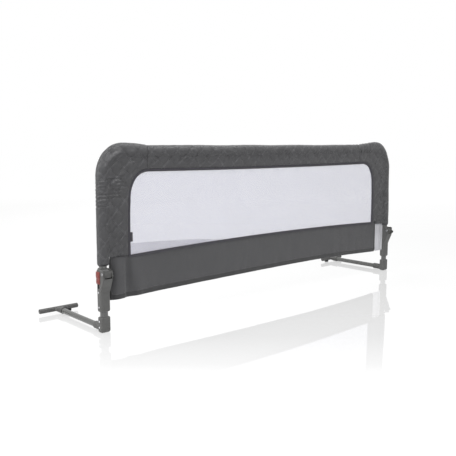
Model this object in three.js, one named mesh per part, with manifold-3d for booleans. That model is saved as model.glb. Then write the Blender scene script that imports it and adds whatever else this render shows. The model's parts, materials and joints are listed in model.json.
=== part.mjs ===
// A folding bed guard rail: a bent tube frame in a quilted cover with a mesh window, carried by two
// feet whose arms go under the mattress. Each foot has a hinge with a spring-loaded red release, so
// that the rail folds down towards the room. Millimetres, +Z up, X along the rail, the room at -Y.
import * as THREE from 'three';
import { mergeVertices } from 'three/addons/utils/BufferGeometryUtils.js';
import Module from 'manifold-3d';

const wasm = await Module();
wasm.setup();

// Room between pieces
const pushFit = 0.35; // on each side of a piece pushed into another
const meetGap = 0.3; // between faces that meet
const softGap = 0.4; // between a tube and the cloth round it
const turnGap = 0.4; // between a turning piece and its neighbour
const overrun = 3; // how far a cutter passes the face that it cuts

// The frame
const legSpacing = 1280;
const railTop = 500;
const tubeLong = 22; // along the rail on the posts, upright on the top
const tubeShort = 16;
const tubeWall = 1.2;
const bendRadius = 76;
const jointFromLeg = 160; // where the corner tubes end and the top tube's thin ends go in
const spigotLength = 38;
const crossPinRadius = 1.7;

// The feet
const armReach = 267; // from the leg to the crossbar
const armDiameter = 16;
const armHeight = 11.6;
const crossbar = { length: 124, diameter: 12.5, height: 12, socketLength: 26, socketRadius: 9.7 };
const crossbarFlare = { length: 12, halfWidth: 19, halfHeight: 5.4 };
const pad = { width: 15, depth: 11, height: 9, fromArm: 32.5, corner: 2.8, edge: 1.4 };
const elbow = { width: 30, depth: 20, corner: 5, height: 43, boreFloor: 4 };
const elbowRounding = { sole: 4.6, top: 2.4 };
const elbowSocket = { reach: 46, radius: 10.6, chamfer: 1.6, boreStart: 11 };

// The hinges
const casing = { width: 30, depth: 21, corner: 5, bottom: 57, rounding: 4, shelf: 116, shelfThickness: 4 };
const hinge = { y: -20, z: 163, barrelRadius: 14, forkGap: 22.6 };
const hingePin = { radius: 3, headRadius: 4.2, headHeight: 1.3 };
const bulge = { reach: 30.5, topRadius: 13, top: 177.5, taperTop: 148, taperBottom: 112 };
const bulgeBack = { drop: 4, radius: 6 };
const socket = { drop: 11.8, rise: 13, wall: 2.2, plugLength: 29, crossPinRise: 16 };
const slot = { halfWidth: 3.6, bottom: 121, top: 147.5 };
const rivet = { radius: 1.7, headRadius: 3, headHeight: 1.3, depth: 6 };
const rivetHeights = { elbow: [15, 31], casing: [70, 111] };

// The release in each hinge
const button = { width: 19, height: 34, bottom: 134, proud: 4 };
const releaseTravel = 8;
const carriage = { bottom: 138, height: 8, stemHalfWidth: 3.2, inward: 6, front: -9.2, back: 5 };
const bolt = { halfWidth: 5, thickness: 4, height: 11.8 };
const spring = { coilRadius: 3.5, wireRadius: 0.55, turns: 5, y: -1 };

// The cover
const postPad = 4.5; // cloth and wadding outside the tube on a post
const topPad = 3; // the same above the top tube
const cornerPuff = 6; // how far the corner covers stand out of the top
const coverHalfDepth = 12;
const innerBulge = 16; // where the round part of a cover ends, from the tube's axis
const bandStartHalf = 7.4;
const bandEdgeHalf = 2.8;
const quiltPitch = 44;
const quiltRise = 0.9;
const neck = 6; // bare tube between the hinge and the sleeve
const hemHeight = 203.5; // where the band of a post ends
const hemWidth = 2;
const rightHem = { height: 191.5, reach: 70.5 }; // the lower hem beside the skirt's right end
const leftSeam = 143; // from a leg's axis to the seam between corner cover and top cover
const rightSeam = 180;

// The window
const leftBand = 87; // from a leg's axis to the window
const rightBand = 92;
const topBand = 72;
const windowCorner = 64;
const windowSill = 202;
const sillBow = 9.5;
const headSag = 3;
const bindingWidth = 4;
const bindingHalfDepth = 3;
const net = { thickness: 1.2, columns: 20, rows: 5, strand: 5, margin: 8 };
const tab = { width: 5.2, thickness: 1.4, bottom: 238, height: 26 };

// The skirt and the plain end strip
const skirt = { leftEnd: 22, rightEnd: 73, bottom: 84.5, bow: 9.5, thickness: 3, cornerRise: 12 };
const skirtFolds = [
  { at: 14, width: 9, depth: 2.4 },
  { at: 34, width: 9, depth: -3.2 },
  { at: 55, width: 10, depth: 3.4 },
  { at: 80, width: 14, depth: -1.8 },
  { at: 420, width: 90, depth: 1.6 },
  { at: 860, width: 120, depth: -1.4 },
];
const gathered = 96; // from the skirt's left end to the last of its close folds
const gatheredStep = 8;
const plainStep = 46;
const strip = { width: 49, fromSkirt: 4, bottom: 84, thickness: 1, wave: 1.2, corner: 3 };

// Sizes that follow from the ones above
const legX = legSpacing / 2;
const tubeTopZ = railTop - topPad - tubeLong / 2;
const bendStart = tubeTopZ - bendRadius;
const knuckleTop = hinge.z + socket.rise;
const sleeveFoot = knuckleTop + neck;
const windowHalf = legX - (leftBand + rightBand) / 2;
const windowMiddle = (leftBand - rightBand) / 2;
const windowTop = railTop - topBand;
const arcX = windowHalf - windowCorner;
const arcZ = windowTop - windowCorner;
const edgeOffset = bindingWidth + meetGap;
const boltBack = carriage.front - meetGap;
const boltFront = boltBack - bolt.thickness;
const armEnd = armReach - crossbar.diameter / 2 - tubeWall;

// Where the casing's fork is cut away for the knuckle
const cradleRadius = hinge.barrelRadius + turnGap;
const deck = hinge.z - socket.drop - turnGap;
const socketFront = -tubeShort / 2 - 2 * turnGap;
const socketBack = tubeShort / 2 + socket.wall;
const depthCentre = (armReach + crossbar.diameter / 2 - bulge.reach) / 2;

const paint = new THREE.MeshStandardMaterial({ color: 0x5f605c, roughness: 0.35, metalness: 0.3 });
const plastic = new THREE.MeshStandardMaterial({ color: 0x656662, roughness: 0.6, metalness: 0 });
const zinc = new THREE.MeshStandardMaterial({ color: 0xc8c8c8, roughness: 0.3, metalness: 0.9 });
const redPlastic = new THREE.MeshStandardMaterial({ color: 0xb5483c, roughness: 0.5, metalness: 0 });
const rubber = new THREE.MeshStandardMaterial({ color: 0x2c2c2e, roughness: 0.85, metalness: 0 });
const quilt = new THREE.MeshStandardMaterial({ color: 0x555557, roughness: 0.75, metalness: 0 });
const cloth = new THREE.MeshStandardMaterial({ color: 0x58585a, roughness: 0.85, metalness: 0 });
const tape = new THREE.MeshStandardMaterial({ color: 0x413f46, roughness: 0.85, metalness: 0 });
const mesh = new THREE.MeshStandardMaterial({ color: 0xdddde6, roughness: 0.9, metalness: 0 });
const satin = new THREE.MeshStandardMaterial({ color: 0xbebec0, roughness: 0.45, metalness: 0 });

// Turns the faces outward, whichever way they were wound
function facingOut(geometry) {
  const place = geometry.attributes.position;
  const index = geometry.index.array;
  const corners = [new THREE.Vector3(), new THREE.Vector3(), new THREE.Vector3()];
  let volume = 0;
  for (let face = 0; face < index.length; face += 3) {
    corners.forEach((corner, n) => corner.fromBufferAttribute(place, index[face + n]));
    volume += corners[0].dot(corners[1].cross(corners[2]));
  }
  if (volume < 0) {
    for (let face = 0; face < index.length; face += 3) {
      [index[face], index[face + 1]] = [index[face + 1], index[face]];
    }
  }
  return geometry;
}

// One skin over a row of outlines with equal numbers of points. Point i of an outline lies across
// from point count - 1 - i, so an end closes as a ladder. A looped row runs back into its first.
function skin(outlines, looped = false, turnsDiagonal = () => false) {
  const count = outlines[0].length;
  const rows = outlines.length;
  const faces = [];
  for (let row = 0; row < (looped ? rows : rows - 1); row += 1) {
    for (let point = 0; point < count; point += 1) {
      const next = (point + 1) % count;
      const a = row * count + point;
      const b = row * count + next;
      const c = ((row + 1) % rows) * count + next;
      const d = ((row + 1) % rows) * count + point;
      if (turnsDiagonal(row, point)) faces.push(a, b, d, b, c, d);
      else faces.push(a, b, c, a, c, d);
    }
  }
  for (let rung = 0; !looped && rung + 1 <= count - 2 - rung; rung += 1) {
    const far = count - 1 - rung;
    const end = (rows - 1) * count;
    faces.push(rung + 1, rung, far, end + rung, end + rung + 1, end + far);
    if (rung + 1 < far - 1) {
      faces.push(rung + 1, far, far - 1, end + rung + 1, end + far - 1, end + far);
    }
  }
  const geometry = new THREE.BufferGeometry();
  const places = outlines.flat().flatMap((point) => [point.x, point.y, point.z]);
  geometry.setAttribute('position', new THREE.Float32BufferAttribute(places, 3));
  geometry.setIndex(faces);
  return facingOut(geometry);
}

function toSolid(geometry) {
  const bare = geometry.clone();
  bare.deleteAttribute('normal');
  bare.deleteAttribute('uv');
  const merged = mergeVertices(bare);
  return new wasm.Manifold(new wasm.Mesh({
    numProp: 3,
    vertProperties: new Float32Array(merged.attributes.position.array),
    triVerts: new Uint32Array(merged.index.array),
  }));
}

function toGeometry(solid) {
  const { vertProperties, triVerts } = solid.getMesh();
  const geometry = new THREE.BufferGeometry();
  geometry.setAttribute('position', new THREE.BufferAttribute(new Float32Array(vertProperties), 3));
  geometry.setIndex(new THREE.BufferAttribute(new Uint32Array(triVerts), 1));
  return geometry;
}

function joined(...geometries) {
  return toGeometry(geometries.map(toSolid).reduce((whole, next) => whole.add(next)));
}

function cut(geometry, ...cutters) {
  return toGeometry(cutters.map(toSolid).reduce((whole, next) => whole.subtract(next), toSolid(geometry)));
}

function overlap(one, other) {
  return toGeometry(toSolid(one).intersect(toSolid(other)));
}

// A block between two corners
function block(low, high) {
  const geometry = new THREE.BoxGeometry(high.x - low.x, high.y - low.y, high.z - low.z);
  return geometry.translate((low.x + high.x) / 2, (low.y + high.y) / 2, (low.z + high.z) / 2);
}

function spot(x, y, z) {
  return new THREE.Vector3(x, y, z);
}

// A round bar along X
function roundBar(from, to, radius, y, z, sides = 12) {
  const geometry = new THREE.CylinderGeometry(radius, radius, to - from, sides);
  return geometry.rotateZ(Math.PI / 2).translate((from + to) / 2, y, z);
}

// An outline in the YZ plane carried along X
function sideProfile(outline, halfWidth) {
  const shape = new THREE.Shape(outline.map(([y, z]) => new THREE.Vector2(y, z)));
  const geometry = new THREE.ExtrudeGeometry(shape, { depth: 2 * halfWidth, bevelEnabled: false });
  const toYZ = new THREE.Matrix4().set(0, 0, 1, -halfWidth, 1, 0, 0, 0, 0, 1, 0, 0, 0, 0, 0, 1);
  return geometry.applyMatrix4(toYZ);
}

// The flat-sided tube's outline: two half rounds with straight sides between, as [long, short] pairs
function tubeOutline(halfLong, halfShort, steps = 6) {
  const outline = [];
  for (const [start, end] of [[-Math.PI / 2, 1], [Math.PI / 2, -1]]) {
    for (let step = 0; step <= steps; step += 1) {
      const angle = start + (step / steps) * Math.PI;
      const straight = end * (halfLong - halfShort);
      outline.push([straight + halfShort * Math.cos(angle), halfShort * Math.sin(angle)]);
    }
  }
  return outline;
}

function roundedOutline(halfX, halfY, radius, z) {
  const outline = [];
  const cornerSteps = 3;
  for (const [x, y, start] of [[1, 1, 0], [-1, 1, 1], [-1, -1, 2], [1, -1, 3]]) {
    for (let step = 0; step <= cornerSteps; step += 1) {
      const angle = (start + step / cornerSteps) * Math.PI / 2;
      outline.push(spot(
        x * (halfX - radius) + radius * Math.cos(angle),
        y * (halfY - radius) + radius * Math.sin(angle),
        z,
      ));
    }
  }
  return outline;
}

// An upright block with round corners; its ends are rounded off by the given sizes
function softColumn(halfX, halfY, radius, bottom, top, bottomRounding = 0, topRounding = 0) {
  const roundShares = [[0, 1], [0.3, 0.35], [1, 0]];
  const leastShare = 0.15;
  const drawnIn = (end, towards, size) => (
    roundShares.map(([along, inset]) => [end + towards * along * size, inset * size])
  );
  const levels = [
    ...(bottomRounding ? drawnIn(bottom, 1, bottomRounding) : [[bottom, 0]]),
    ...(topRounding ? drawnIn(top, -1, topRounding).reverse() : [[top, 0]]),
  ];
  return skin(levels.map(([z, inset]) => {
    const cornerRadius = Math.max(radius - inset, radius * leastShare);
    return roundedOutline(halfX - inset, halfY - inset, cornerRadius, z);
  }));
}

// Rounds turned about an axis through the origin, along X or Y; the profile is [along, radius] pairs
function turned(profile, axis, sides = 12) {
  return skin(profile.map(([along, radius]) => {
    const outline = [];
    for (let side = 0; side < sides; side += 1) {
      const angle = (side / sides) * 2 * Math.PI;
      const across = radius * Math.cos(angle);
      const up = radius * Math.sin(angle);
      outline.push(axis === 'x' ? spot(along, across, up) : spot(across, along, up));
    }
    return outline;
  }));
}

// The frame's tube at a station: a place in the XZ plane and the angle of its outward side
function tubeRing({ x, z, angle }, halfLong, halfShort) {
  return tubeOutline(halfLong, halfShort).map(([long, short]) => (
    spot(x + long * Math.cos(angle), short, z + long * Math.sin(angle))
  ));
}

function hollowTube(stations, halfLong = tubeLong / 2, halfShort = tubeShort / 2) {
  const outside = stations.map((station) => tubeRing(station, halfLong, halfShort));
  const inside = stations.map((station) => tubeRing(station, halfLong - tubeWall, halfShort - tubeWall));
  return skin([...outside, ...inside.reverse()], true);
}

function tubeCore(stations, room) {
  return skin(stations.map((station) => tubeRing(station, tubeLong / 2 + room, tubeShort / 2 + room)));
}

// Stations up a post, round the bend and along the top, measured from the leg's axis
function cornerStations(foot, farEnd) {
  const stations = [{ x: 0, z: foot, angle: 0 }];
  const bendSteps = 8;
  for (let step = 0; step <= bendSteps; step += 1) {
    const angle = (step / bendSteps) * Math.PI / 2;
    const x = bendRadius * (Math.cos(angle) - 1);
    stations.push({ x, z: bendStart + bendRadius * Math.sin(angle), angle });
  }
  stations.push({ x: farEnd, z: tubeTopZ, angle: Math.PI / 2 });
  return stations;
}

function uprightBore(room, bottom, top) {
  return tubeCore([{ x: 0, z: bottom, angle: 0 }, { x: 0, z: top, angle: 0 }], room);
}

// A rivet through the outer wall at a height; its head lies on the outer face
function rivetAt(height) {
  const face = casing.width / 2 + meetGap;
  const domeShare = 0.6;
  return turned([
    [face - rivet.depth, rivet.radius],
    [face, rivet.radius],
    [face, rivet.headRadius],
    [face + rivet.headHeight * domeShare, rivet.headRadius * domeShare ** 0.5],
    [face + rivet.headHeight, rivet.headRadius * domeShare / 2],
  ], 'x', 10).translate(0, 0, height);
}

function rivetHole(height) {
  const face = casing.width / 2 + overrun;
  return roundBar(face - overrun - rivet.depth - overrun, face, rivet.radius + pushFit, 0, height, 10);
}

function elbowGeometry() {
  const { width, depth, corner, height } = elbow;
  const { sole, top } = elbowRounding;
  const column = softColumn(width / 2, depth / 2, corner, 0, height, sole, top);
  const { reach, radius, chamfer, boreStart } = elbowSocket;
  const barrel = turned([
    [0, radius],
    [reach - chamfer, radius],
    [reach, radius - chamfer],
  ], 'y', 16).translate(0, 0, armHeight);
  const armBore = turned([
    [boreStart, armDiameter / 2 + pushFit],
    [reach + overrun, armDiameter / 2 + pushFit],
  ], 'y', 16).translate(0, 0, armHeight);
  const legBore = uprightBore(pushFit, elbow.boreFloor, height + overrun);
  return cut(joined(column, barrel), legBore, armBore, ...rivetHeights.elbow.map(rivetHole));
}

function armGeometry() {
  const start = elbowSocket.boreStart + meetGap;
  const end = armEnd - meetGap;
  const radius = armDiameter / 2;
  const profile = [[start, radius], [end, radius], [end, radius - tubeWall], [start, radius - tubeWall]];
  const sides = 16;
  const rings = profile.map(([along, ringRadius]) => {
    const outline = [];
    for (let side = 0; side < sides; side += 1) {
      const angle = (side / sides) * 2 * Math.PI;
      outline.push(spot(ringRadius * Math.cos(angle), along, armHeight + ringRadius * Math.sin(angle)));
    }
    return outline;
  });
  return skin(rings, true);
}

function barProfile(radius, room = 0) {
  const half = crossbar.length / 2;
  const domeShares = [[0, 0.35], [0.12, 0.66], [0.45, 0.92], [1, 1]];
  const rise = domeShares.map(([along, across]) => [-half + along * radius, across * radius + room]);
  return [...rise, ...rise.toReversed().map(([along, across]) => [-along, across])];
}

function crossbarGeometry() {
  const bar = turned(barProfile(crossbar.diameter / 2), 'x', 12).translate(0, armReach, crossbar.height);
  const flareEnd = armReach - crossbarFlare.halfHeight / 2;
  const mouth = armReach - crossbar.diameter / 2 - crossbar.socketLength;
  const sections = [
    [mouth, crossbar.socketRadius, crossbar.socketRadius, armHeight],
    [flareEnd - crossbarFlare.length, crossbar.socketRadius, crossbar.socketRadius, armHeight],
    [flareEnd, crossbarFlare.halfWidth, crossbarFlare.halfHeight, crossbar.height],
  ];
  const sides = 16;
  const flare = skin(sections.map(([along, halfWidth, halfHeight, height]) => {
    const outline = [];
    for (let side = 0; side < sides; side += 1) {
      const angle = (side / sides) * 2 * Math.PI;
      outline.push(spot(halfWidth * Math.cos(angle), along, height + halfHeight * Math.sin(angle)));
    }
    return outline;
  }));
  const bore = turned([
    [mouth - overrun, armDiameter / 2 + pushFit],
    [armEnd, armDiameter / 2 + pushFit],
  ], 'y', 16).translate(0, 0, armHeight);
  return cut(joined(bar, flare), bore);
}

function padGeometry() {
  const { width, depth, height, fromArm, corner, edge } = pad;
  const body = softColumn(width / 2, depth / 2, corner, 0, height, edge);
  const bar = turned(barProfile(crossbar.diameter / 2, meetGap), 'x', 12);
  return cut(body.translate(-fromArm, armReach, 0), bar.translate(0, armReach, crossbar.height));
}

function legTubeGeometry() {
  const bottom = elbow.boreFloor + meetGap;
  const top = casing.shelf - meetGap;
  const tube = hollowTube([{ x: 0, z: bottom, angle: 0 }, { x: 0, z: top, angle: 0 }]);
  return cut(tube, ...[...rivetHeights.elbow, ...rivetHeights.casing].map(rivetHole));
}

function casingGeometry() {
  const { width, depth, corner, bottom, rounding, shelf, shelfThickness } = casing;
  const front = -depth / 2;
  const back = depth / 2;
  const column = softColumn(width / 2, depth / 2, corner, bottom, deck, rounding);
  const taperShares = [[0, 0], [0.075, 0.17], [0.275, 0.42], [0.575, 0.67], [0.875, 0.89], [1, 1]];
  const taper = taperShares.map(([out, up]) => [
    front - out * (bulge.reach + front),
    THREE.MathUtils.lerp(bulge.taperBottom, bulge.taperTop, up),
  ]);
  const dome = [];
  const domeSteps = 5;
  for (let step = 0; step <= domeSteps; step += 1) {
    const angle = (1 - step / domeSteps / 2) * Math.PI;
    const centreY = bulge.topRadius - bulge.reach;
    const centreZ = bulge.top - bulge.topRadius;
    dome.push([centreY + bulge.topRadius * Math.cos(angle), centreZ + bulge.topRadius * Math.sin(angle)]);
  }
  const shoulder = [];
  const shoulderSteps = 3;
  for (let step = 0; step <= shoulderSteps; step += 1) {
    const angle = (1 - step / shoulderSteps) * Math.PI / 2;
    shoulder.push([
      back + bulgeBack.radius * (Math.cos(angle) - 1),
      bulge.top - bulgeBack.drop + bulgeBack.radius * (Math.sin(angle) - 1),
    ]);
  }
  const head = sideProfile([...taper, ...dome, ...shoulder, [back, bulge.taperBottom]], width / 2);
  const footprint = softColumn(
    width / 2, (bulge.reach + back) / 2, corner, bulge.taperBottom - overrun, bulge.top + overrun,
  ).translate(0, (back - bulge.reach) / 2, 0);
  const fork = hinge.forkGap / 2;
  const cradle = roundBar(-fork, fork, cradleRadius, hinge.y, hinge.z, 24);
  const lip = hinge.y - (cradleRadius ** 2 - (hinge.z - deck) ** 2) ** 0.5;
  const headroom = block(spot(-fork, lip, deck), spot(fork, back + overrun, bulge.top + overrun));
  const frontReach = bulge.reach + overrun;
  const overLip = block(spot(-fork, -frontReach, hinge.z), spot(fork, lip, bulge.top + overrun));
  const cavityTop = deck + overrun;
  const cavity = block(
    spot(-fork, carriage.front - turnGap, shelf + shelfThickness),
    spot(fork, back - tubeWall * 2, cavityTop),
  );
  const boltWay = block(
    spot(-bolt.halfWidth - turnGap, boltFront - turnGap, carriage.bottom - releaseTravel - turnGap),
    spot(bolt.halfWidth + turnGap, 0, cavityTop),
  );
  const slotCut = block(
    spot(fork - overrun, -slot.halfWidth, slot.bottom),
    spot(width / 2 + overrun, slot.halfWidth, slot.top),
  );
  const legBore = uprightBore(pushFit, bottom - overrun, shelf);
  const pinHole = roundBar(
    -width / 2 - overrun, width / 2 + overrun, hingePin.radius + pushFit, hinge.y, hinge.z,
  );
  const body = joined(column, overlap(head, footprint));
  return cut(
    body, cradle, headroom, overLip, cavity, boltWay, slotCut, legBore, pinHole,
    ...rivetHeights.casing.map(rivetHole),
  );
}

function knuckleGeometry() {
  const frontY = -bulge.reach - hinge.y;
  const radius = hinge.barrelRadius;
  const socketY = socketFront - hinge.y;
  const frontAngle = Math.acos(frontY / radius);
  const backAngle = Math.acos(socketY / radius);
  const steps = 7;
  const arc = (from, to) => Array.from({ length: steps + 1 }, (unused, step) => {
    const angle = THREE.MathUtils.lerp(from, to, step / steps);
    return [hinge.y + radius * Math.cos(angle), hinge.z + radius * Math.sin(angle)];
  });
  const outline = [
    ...arc(frontAngle, backAngle),
    [socketFront, hinge.z + socket.rise],
    [socketBack, hinge.z + socket.rise],
    [socketBack, hinge.z - socket.drop],
    [socketFront, hinge.z - socket.drop],
    ...arc(-backAngle, -frontAngle),
  ];
  const body = sideProfile(outline, hinge.forkGap / 2 - turnGap);
  const plug = uprightBore(-tubeWall - pushFit, knuckleTop - overrun, knuckleTop + socket.plugLength);
  const notch = block(
    spot(-bolt.halfWidth - turnGap, boltFront - turnGap, hinge.z - radius - overrun),
    spot(bolt.halfWidth + turnGap, boltBack + turnGap, hinge.z - radius / 2),
  );
  const reach = tubeLong;
  return cut(
    joined(body, plug),
    notch,
    roundBar(-reach, reach, hingePin.radius + pushFit, hinge.y, hinge.z),
    roundBar(-reach, reach, crossPinRadius + pushFit, 0, knuckleTop + socket.crossPinRise, 10),
  );
}

function hingePinGeometry() {
  const face = casing.width / 2 + meetGap;
  const domeShare = 0.7;
  const head = [
    [face + hingePin.headHeight, hingePin.headRadius * domeShare / 2],
    [face + hingePin.headHeight * domeShare, hingePin.headRadius * domeShare],
    [face, hingePin.headRadius],
    [face, hingePin.radius],
  ];
  const mirroredHead = head.toReversed().map(([along, radius]) => [-along, radius]);
  return turned([...head, ...mirroredHead], 'x', 12).translate(0, hinge.y, hinge.z);
}

// The red button has a thumb ridge above and a smaller one below, with a groove between
function releaseGeometry() {
  const face = casing.width / 2 + meetGap;
  const ridgeShares = [
    [0, 0.3], [0.07, 0.66], [0.22, 0.76], [0.34, 0.56], [0.42, 0.46],
    [0.5, 0.74], [0.68, 1], [0.86, 0.86], [0.95, 0.6], [1, 0.3],
  ];
  const acrossShares = [[-1, 0], [-0.9, 0.55], [-0.55, 0.9], [0, 1], [0.55, 0.9], [0.9, 0.55], [1, 0]];
  const cap = skin(ridgeShares.map(([up, proudShare]) => acrossShares.map(([across, out]) => spot(
    face + out * proudShare * button.proud,
    across * button.width / 2,
    button.bottom + up * button.height,
  ))));
  const top = carriage.bottom + carriage.height;
  const stem = block(
    spot(hinge.forkGap / 2 - turnGap * 2, -carriage.stemHalfWidth, carriage.bottom),
    spot(face + button.proud / 4, carriage.stemHalfWidth, top),
  );
  const plate = block(
    spot(-carriage.inward, carriage.front, carriage.bottom),
    spot(hinge.forkGap / 2 - turnGap, carriage.back, top),
  );
  return joined(cap, stem, plate);
}

function boltGeometry() {
  const { halfWidth, height } = bolt;
  return block(
    spot(-halfWidth, boltFront, carriage.bottom),
    spot(halfWidth, boltBack, carriage.bottom + height),
  );
}

function springGeometry() {
  const { coilRadius, wireRadius, turns, y } = spring;
  const bottom = casing.shelf + casing.shelfThickness + meetGap + wireRadius;
  const top = carriage.bottom - meetGap - wireRadius;
  const stepsPerTurn = 8;
  const sides = 5;
  const steps = turns * stepsPerTurn;
  const outlines = [];
  for (let step = 0; step <= steps; step += 1) {
    const angle = (step / stepsPerTurn) * 2 * Math.PI;
    const out = spot(Math.cos(angle), Math.sin(angle), 0);
    const centre = out.clone().multiplyScalar(coilRadius).add(spot(0, y, 0));
    centre.z = THREE.MathUtils.lerp(bottom, top, step / steps);
    outlines.push(Array.from({ length: sides }, (unused, side) => {
      const turn = (side / sides) * 2 * Math.PI;
      const point = centre.clone().addScaledVector(out, wireRadius * Math.cos(turn));
      point.z += wireRadius * Math.sin(turn);
      return point;
    }));
  }
  return skin(outlines);
}

function cornerTubeGeometry() {
  const tube = hollowTube(cornerStations(knuckleTop + meetGap, -jointFromLeg));
  const reach = tubeLong;
  const postHole = roundBar(
    -reach, reach, crossPinRadius + pushFit, 0, knuckleTop + socket.crossPinRise, 10,
  );
  return cut(tube, postHole, topPinHole(-jointFromLeg + spigotLength / 2));
}

function topPinHole(x) {
  const radius = crossPinRadius + pushFit;
  const hole = new THREE.CylinderGeometry(radius, radius, 2 * tubeShort, 10);
  return hole.translate(x, 0, tubeTopZ);
}

// A pin that ends just inside the tube's sides
function crossPin(throughTube) {
  return new THREE.CylinderGeometry(crossPinRadius, crossPinRadius, throughTube - 2 * pushFit, 10);
}

function topTubeGeometry() {
  const shoulder = legX - jointFromLeg - meetGap;
  const thin = [tubeLong / 2 - tubeWall - pushFit, tubeShort / 2 - tubeWall - pushFit];
  const full = [tubeLong / 2, tubeShort / 2];
  const places = [
    [-shoulder - spigotLength, thin],
    [-shoulder, thin],
    [-shoulder + meetGap, full],
    [shoulder - meetGap, full],
    [shoulder, thin],
    [shoulder + spigotLength, thin],
  ];
  const ring = (x, half) => tubeRing({ x, z: tubeTopZ, angle: Math.PI / 2 }, ...half);
  const outside = places.map(([x, half]) => ring(x, half));
  const inside = places.map(([x, half]) => ring(x, half.map((size) => size - tubeWall)));
  const tube = skin([...outside, ...inside.reverse()], true);
  const pinX = legX - jointFromLeg + spigotLength / 2;
  return cut(tube, topPinHole(-pinX), topPinHole(pinX));
}

// Across a cover: round over the tube, then a quilted band that thins towards the window.
// The pairs are shares of the reach from the tube's axis and of the half depth.
const roundShares = [[-1, 0.3], [-0.82, 0.66], [-0.4, 0.93], [0.25, 1], [0.8, 0.84]];
const bandShares = [1, 0.5, 0.32, 0.22, 0];

function coverOutline(tubeAt, edgeAt, outerReach, station) {
  const reach = Math.hypot(edgeAt.x - tubeAt.x, edgeAt.z - tubeAt.z);
  const alongX = (edgeAt.x - tubeAt.x) / reach;
  const alongZ = (edgeAt.z - tubeAt.z) / reach;
  const half = [];
  for (const [out, deep] of roundShares) {
    half.push([out * (out < 0 ? outerReach : innerBulge - hemWidth), deep * coverHalfDepth]);
  }
  bandShares.forEach((thick, row) => {
    const share = row / (bandShares.length - 1);
    const quilted = share > 0 && share < 1;
    const rise = (row + station) % 2 ? quiltRise : -quiltRise;
    const depth = THREE.MathUtils.lerp(bandEdgeHalf, bandStartHalf, thick);
    half.push([THREE.MathUtils.lerp(innerBulge, reach, share), depth + (quilted ? rise : 0)]);
  });
  const place = ([out, y]) => spot(tubeAt.x + out * alongX, y, tubeAt.z + out * alongZ);
  const front = half.map(([out, y]) => place([out, -y]));
  const back = half.toReversed().map(place);
  return [...front, ...back];
}

// The stitched lines of the quilt run along the faces' diagonals, so each diamond is a pillow
function quiltDiagonal(row, point) {
  const count = 2 * (roundShares.length + bandShares.length);
  const fromEdge = point < count / 2 ? point : count - 1 - point;
  return (fromEdge - roundShares.length + row) % 2 !== 0;
}

// Two paths side by side round a corner: a quarter round and then a straight run to a seam
function roundCorner(share, centreX, centreZ, radius, seam) {
  const past = Math.max(centreX - seam, 0);
  const sweep = past > 0 ? Math.PI / 2 : Math.acos((seam - centreX) / radius);
  const way = share * (sweep * radius + past);
  const angle = Math.min(way / radius, sweep);
  const straight = Math.max(way - sweep * radius, 0);
  return { x: centreX + radius * Math.cos(angle) - straight, z: centreZ + radius * Math.sin(angle) };
}

function cornerCoverGeometry({ band, seam, hemSteps }) {
  const edgeX = edgeOffset - band;
  const outlines = [];
  const outer = tubeLong / 2 + postPad;
  for (const [height, reach] of hemSteps) {
    outlines.push(coverOutline({ x: 0, z: height }, { x: -reach, z: height }, outer, outlines.length));
  }
  const postRows = Math.round((bendStart - hemHeight) / (quiltPitch / 2));
  for (let row = 0; row <= postRows; row += 1) {
    const share = row / postRows;
    const tubeAt = { x: 0, z: THREE.MathUtils.lerp(hemHeight, bendStart, share) };
    const edgeAt = { x: edgeX, z: THREE.MathUtils.lerp(hemHeight, arcZ, share) };
    outlines.push(coverOutline(tubeAt, edgeAt, outer, outlines.length));
  }
  const wayRound = bendRadius * Math.PI / 2 + seam - bendRadius;
  const cornerRows = Math.round(wayRound / (quiltPitch / 2));
  for (let row = 1; row <= cornerRows; row += 1) {
    const share = row / cornerRows;
    const tubeAt = roundCorner(share, -bendRadius, bendStart, bendRadius, -seam);
    const edgeAt = roundCorner(share, -band - windowCorner, arcZ, windowCorner + edgeOffset, -seam);
    const puff = cornerPuff * Math.sin(Math.PI * share ** 2);
    outlines.push(coverOutline(tubeAt, edgeAt, outer + puff, outlines.length));
  }
  const core = tubeCore(cornerStations(hemSteps[0][0] - overrun, -seam - overrun), softGap);
  return cut(skin(outlines, false, quiltDiagonal), core);
}

// The window's upper and lower edges, at a distance from its middle
function headHeight(across, offset = 0) {
  const beyond = Math.abs(across) - arcX;
  if (beyond > 0) return arcZ + ((windowCorner + offset) ** 2 - beyond ** 2) ** 0.5;
  return windowTop + offset - headSag * (1 - (across / arcX) ** 2);
}

function sillHeight(across) {
  return windowSill + sillBow * (1 - (across / windowHalf) ** 2);
}

function windowOutline(offset) {
  const points = [];
  const longSteps = 12;
  const arcSteps = 6;
  const half = windowHalf + offset;
  const corner = (side, quarter) => {
    for (let step = 0; step <= arcSteps; step += 1) {
      const angle = (quarter + step / arcSteps) * Math.PI / 2;
      const radius = windowCorner + offset;
      points.push([side * arcX + radius * Math.cos(angle), arcZ + radius * Math.sin(angle)]);
    }
  };
  for (let step = 0; step <= longSteps; step += 1) {
    const across = THREE.MathUtils.lerp(-half, half, step / longSteps);
    points.push([across, sillHeight(across * windowHalf / half) - offset]);
  }
  corner(1, 0);
  for (let step = 1; step < longSteps; step += 1) {
    const across = THREE.MathUtils.lerp(arcX, -arcX, step / longSteps);
    points.push([across, headHeight(across, offset)]);
  }
  corner(-1, 1);
  return points.map(([across, z]) => [windowMiddle + across, z]);
}

function bindingGeometry() {
  const inner = windowOutline(0);
  const outer = windowOutline(bindingWidth);
  const acrossShares = [[0, -0.8], [0.25, -1], [1, -1], [1, 1], [0.25, 1], [0, 0.8]];
  return skin(inner.map(([x, z], n) => acrossShares.map(([out, deep]) => spot(
    THREE.MathUtils.lerp(x, outer[n][0], out),
    deep * bindingHalfDepth,
    THREE.MathUtils.lerp(z, outer[n][1], out),
  ))), true);
}

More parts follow.
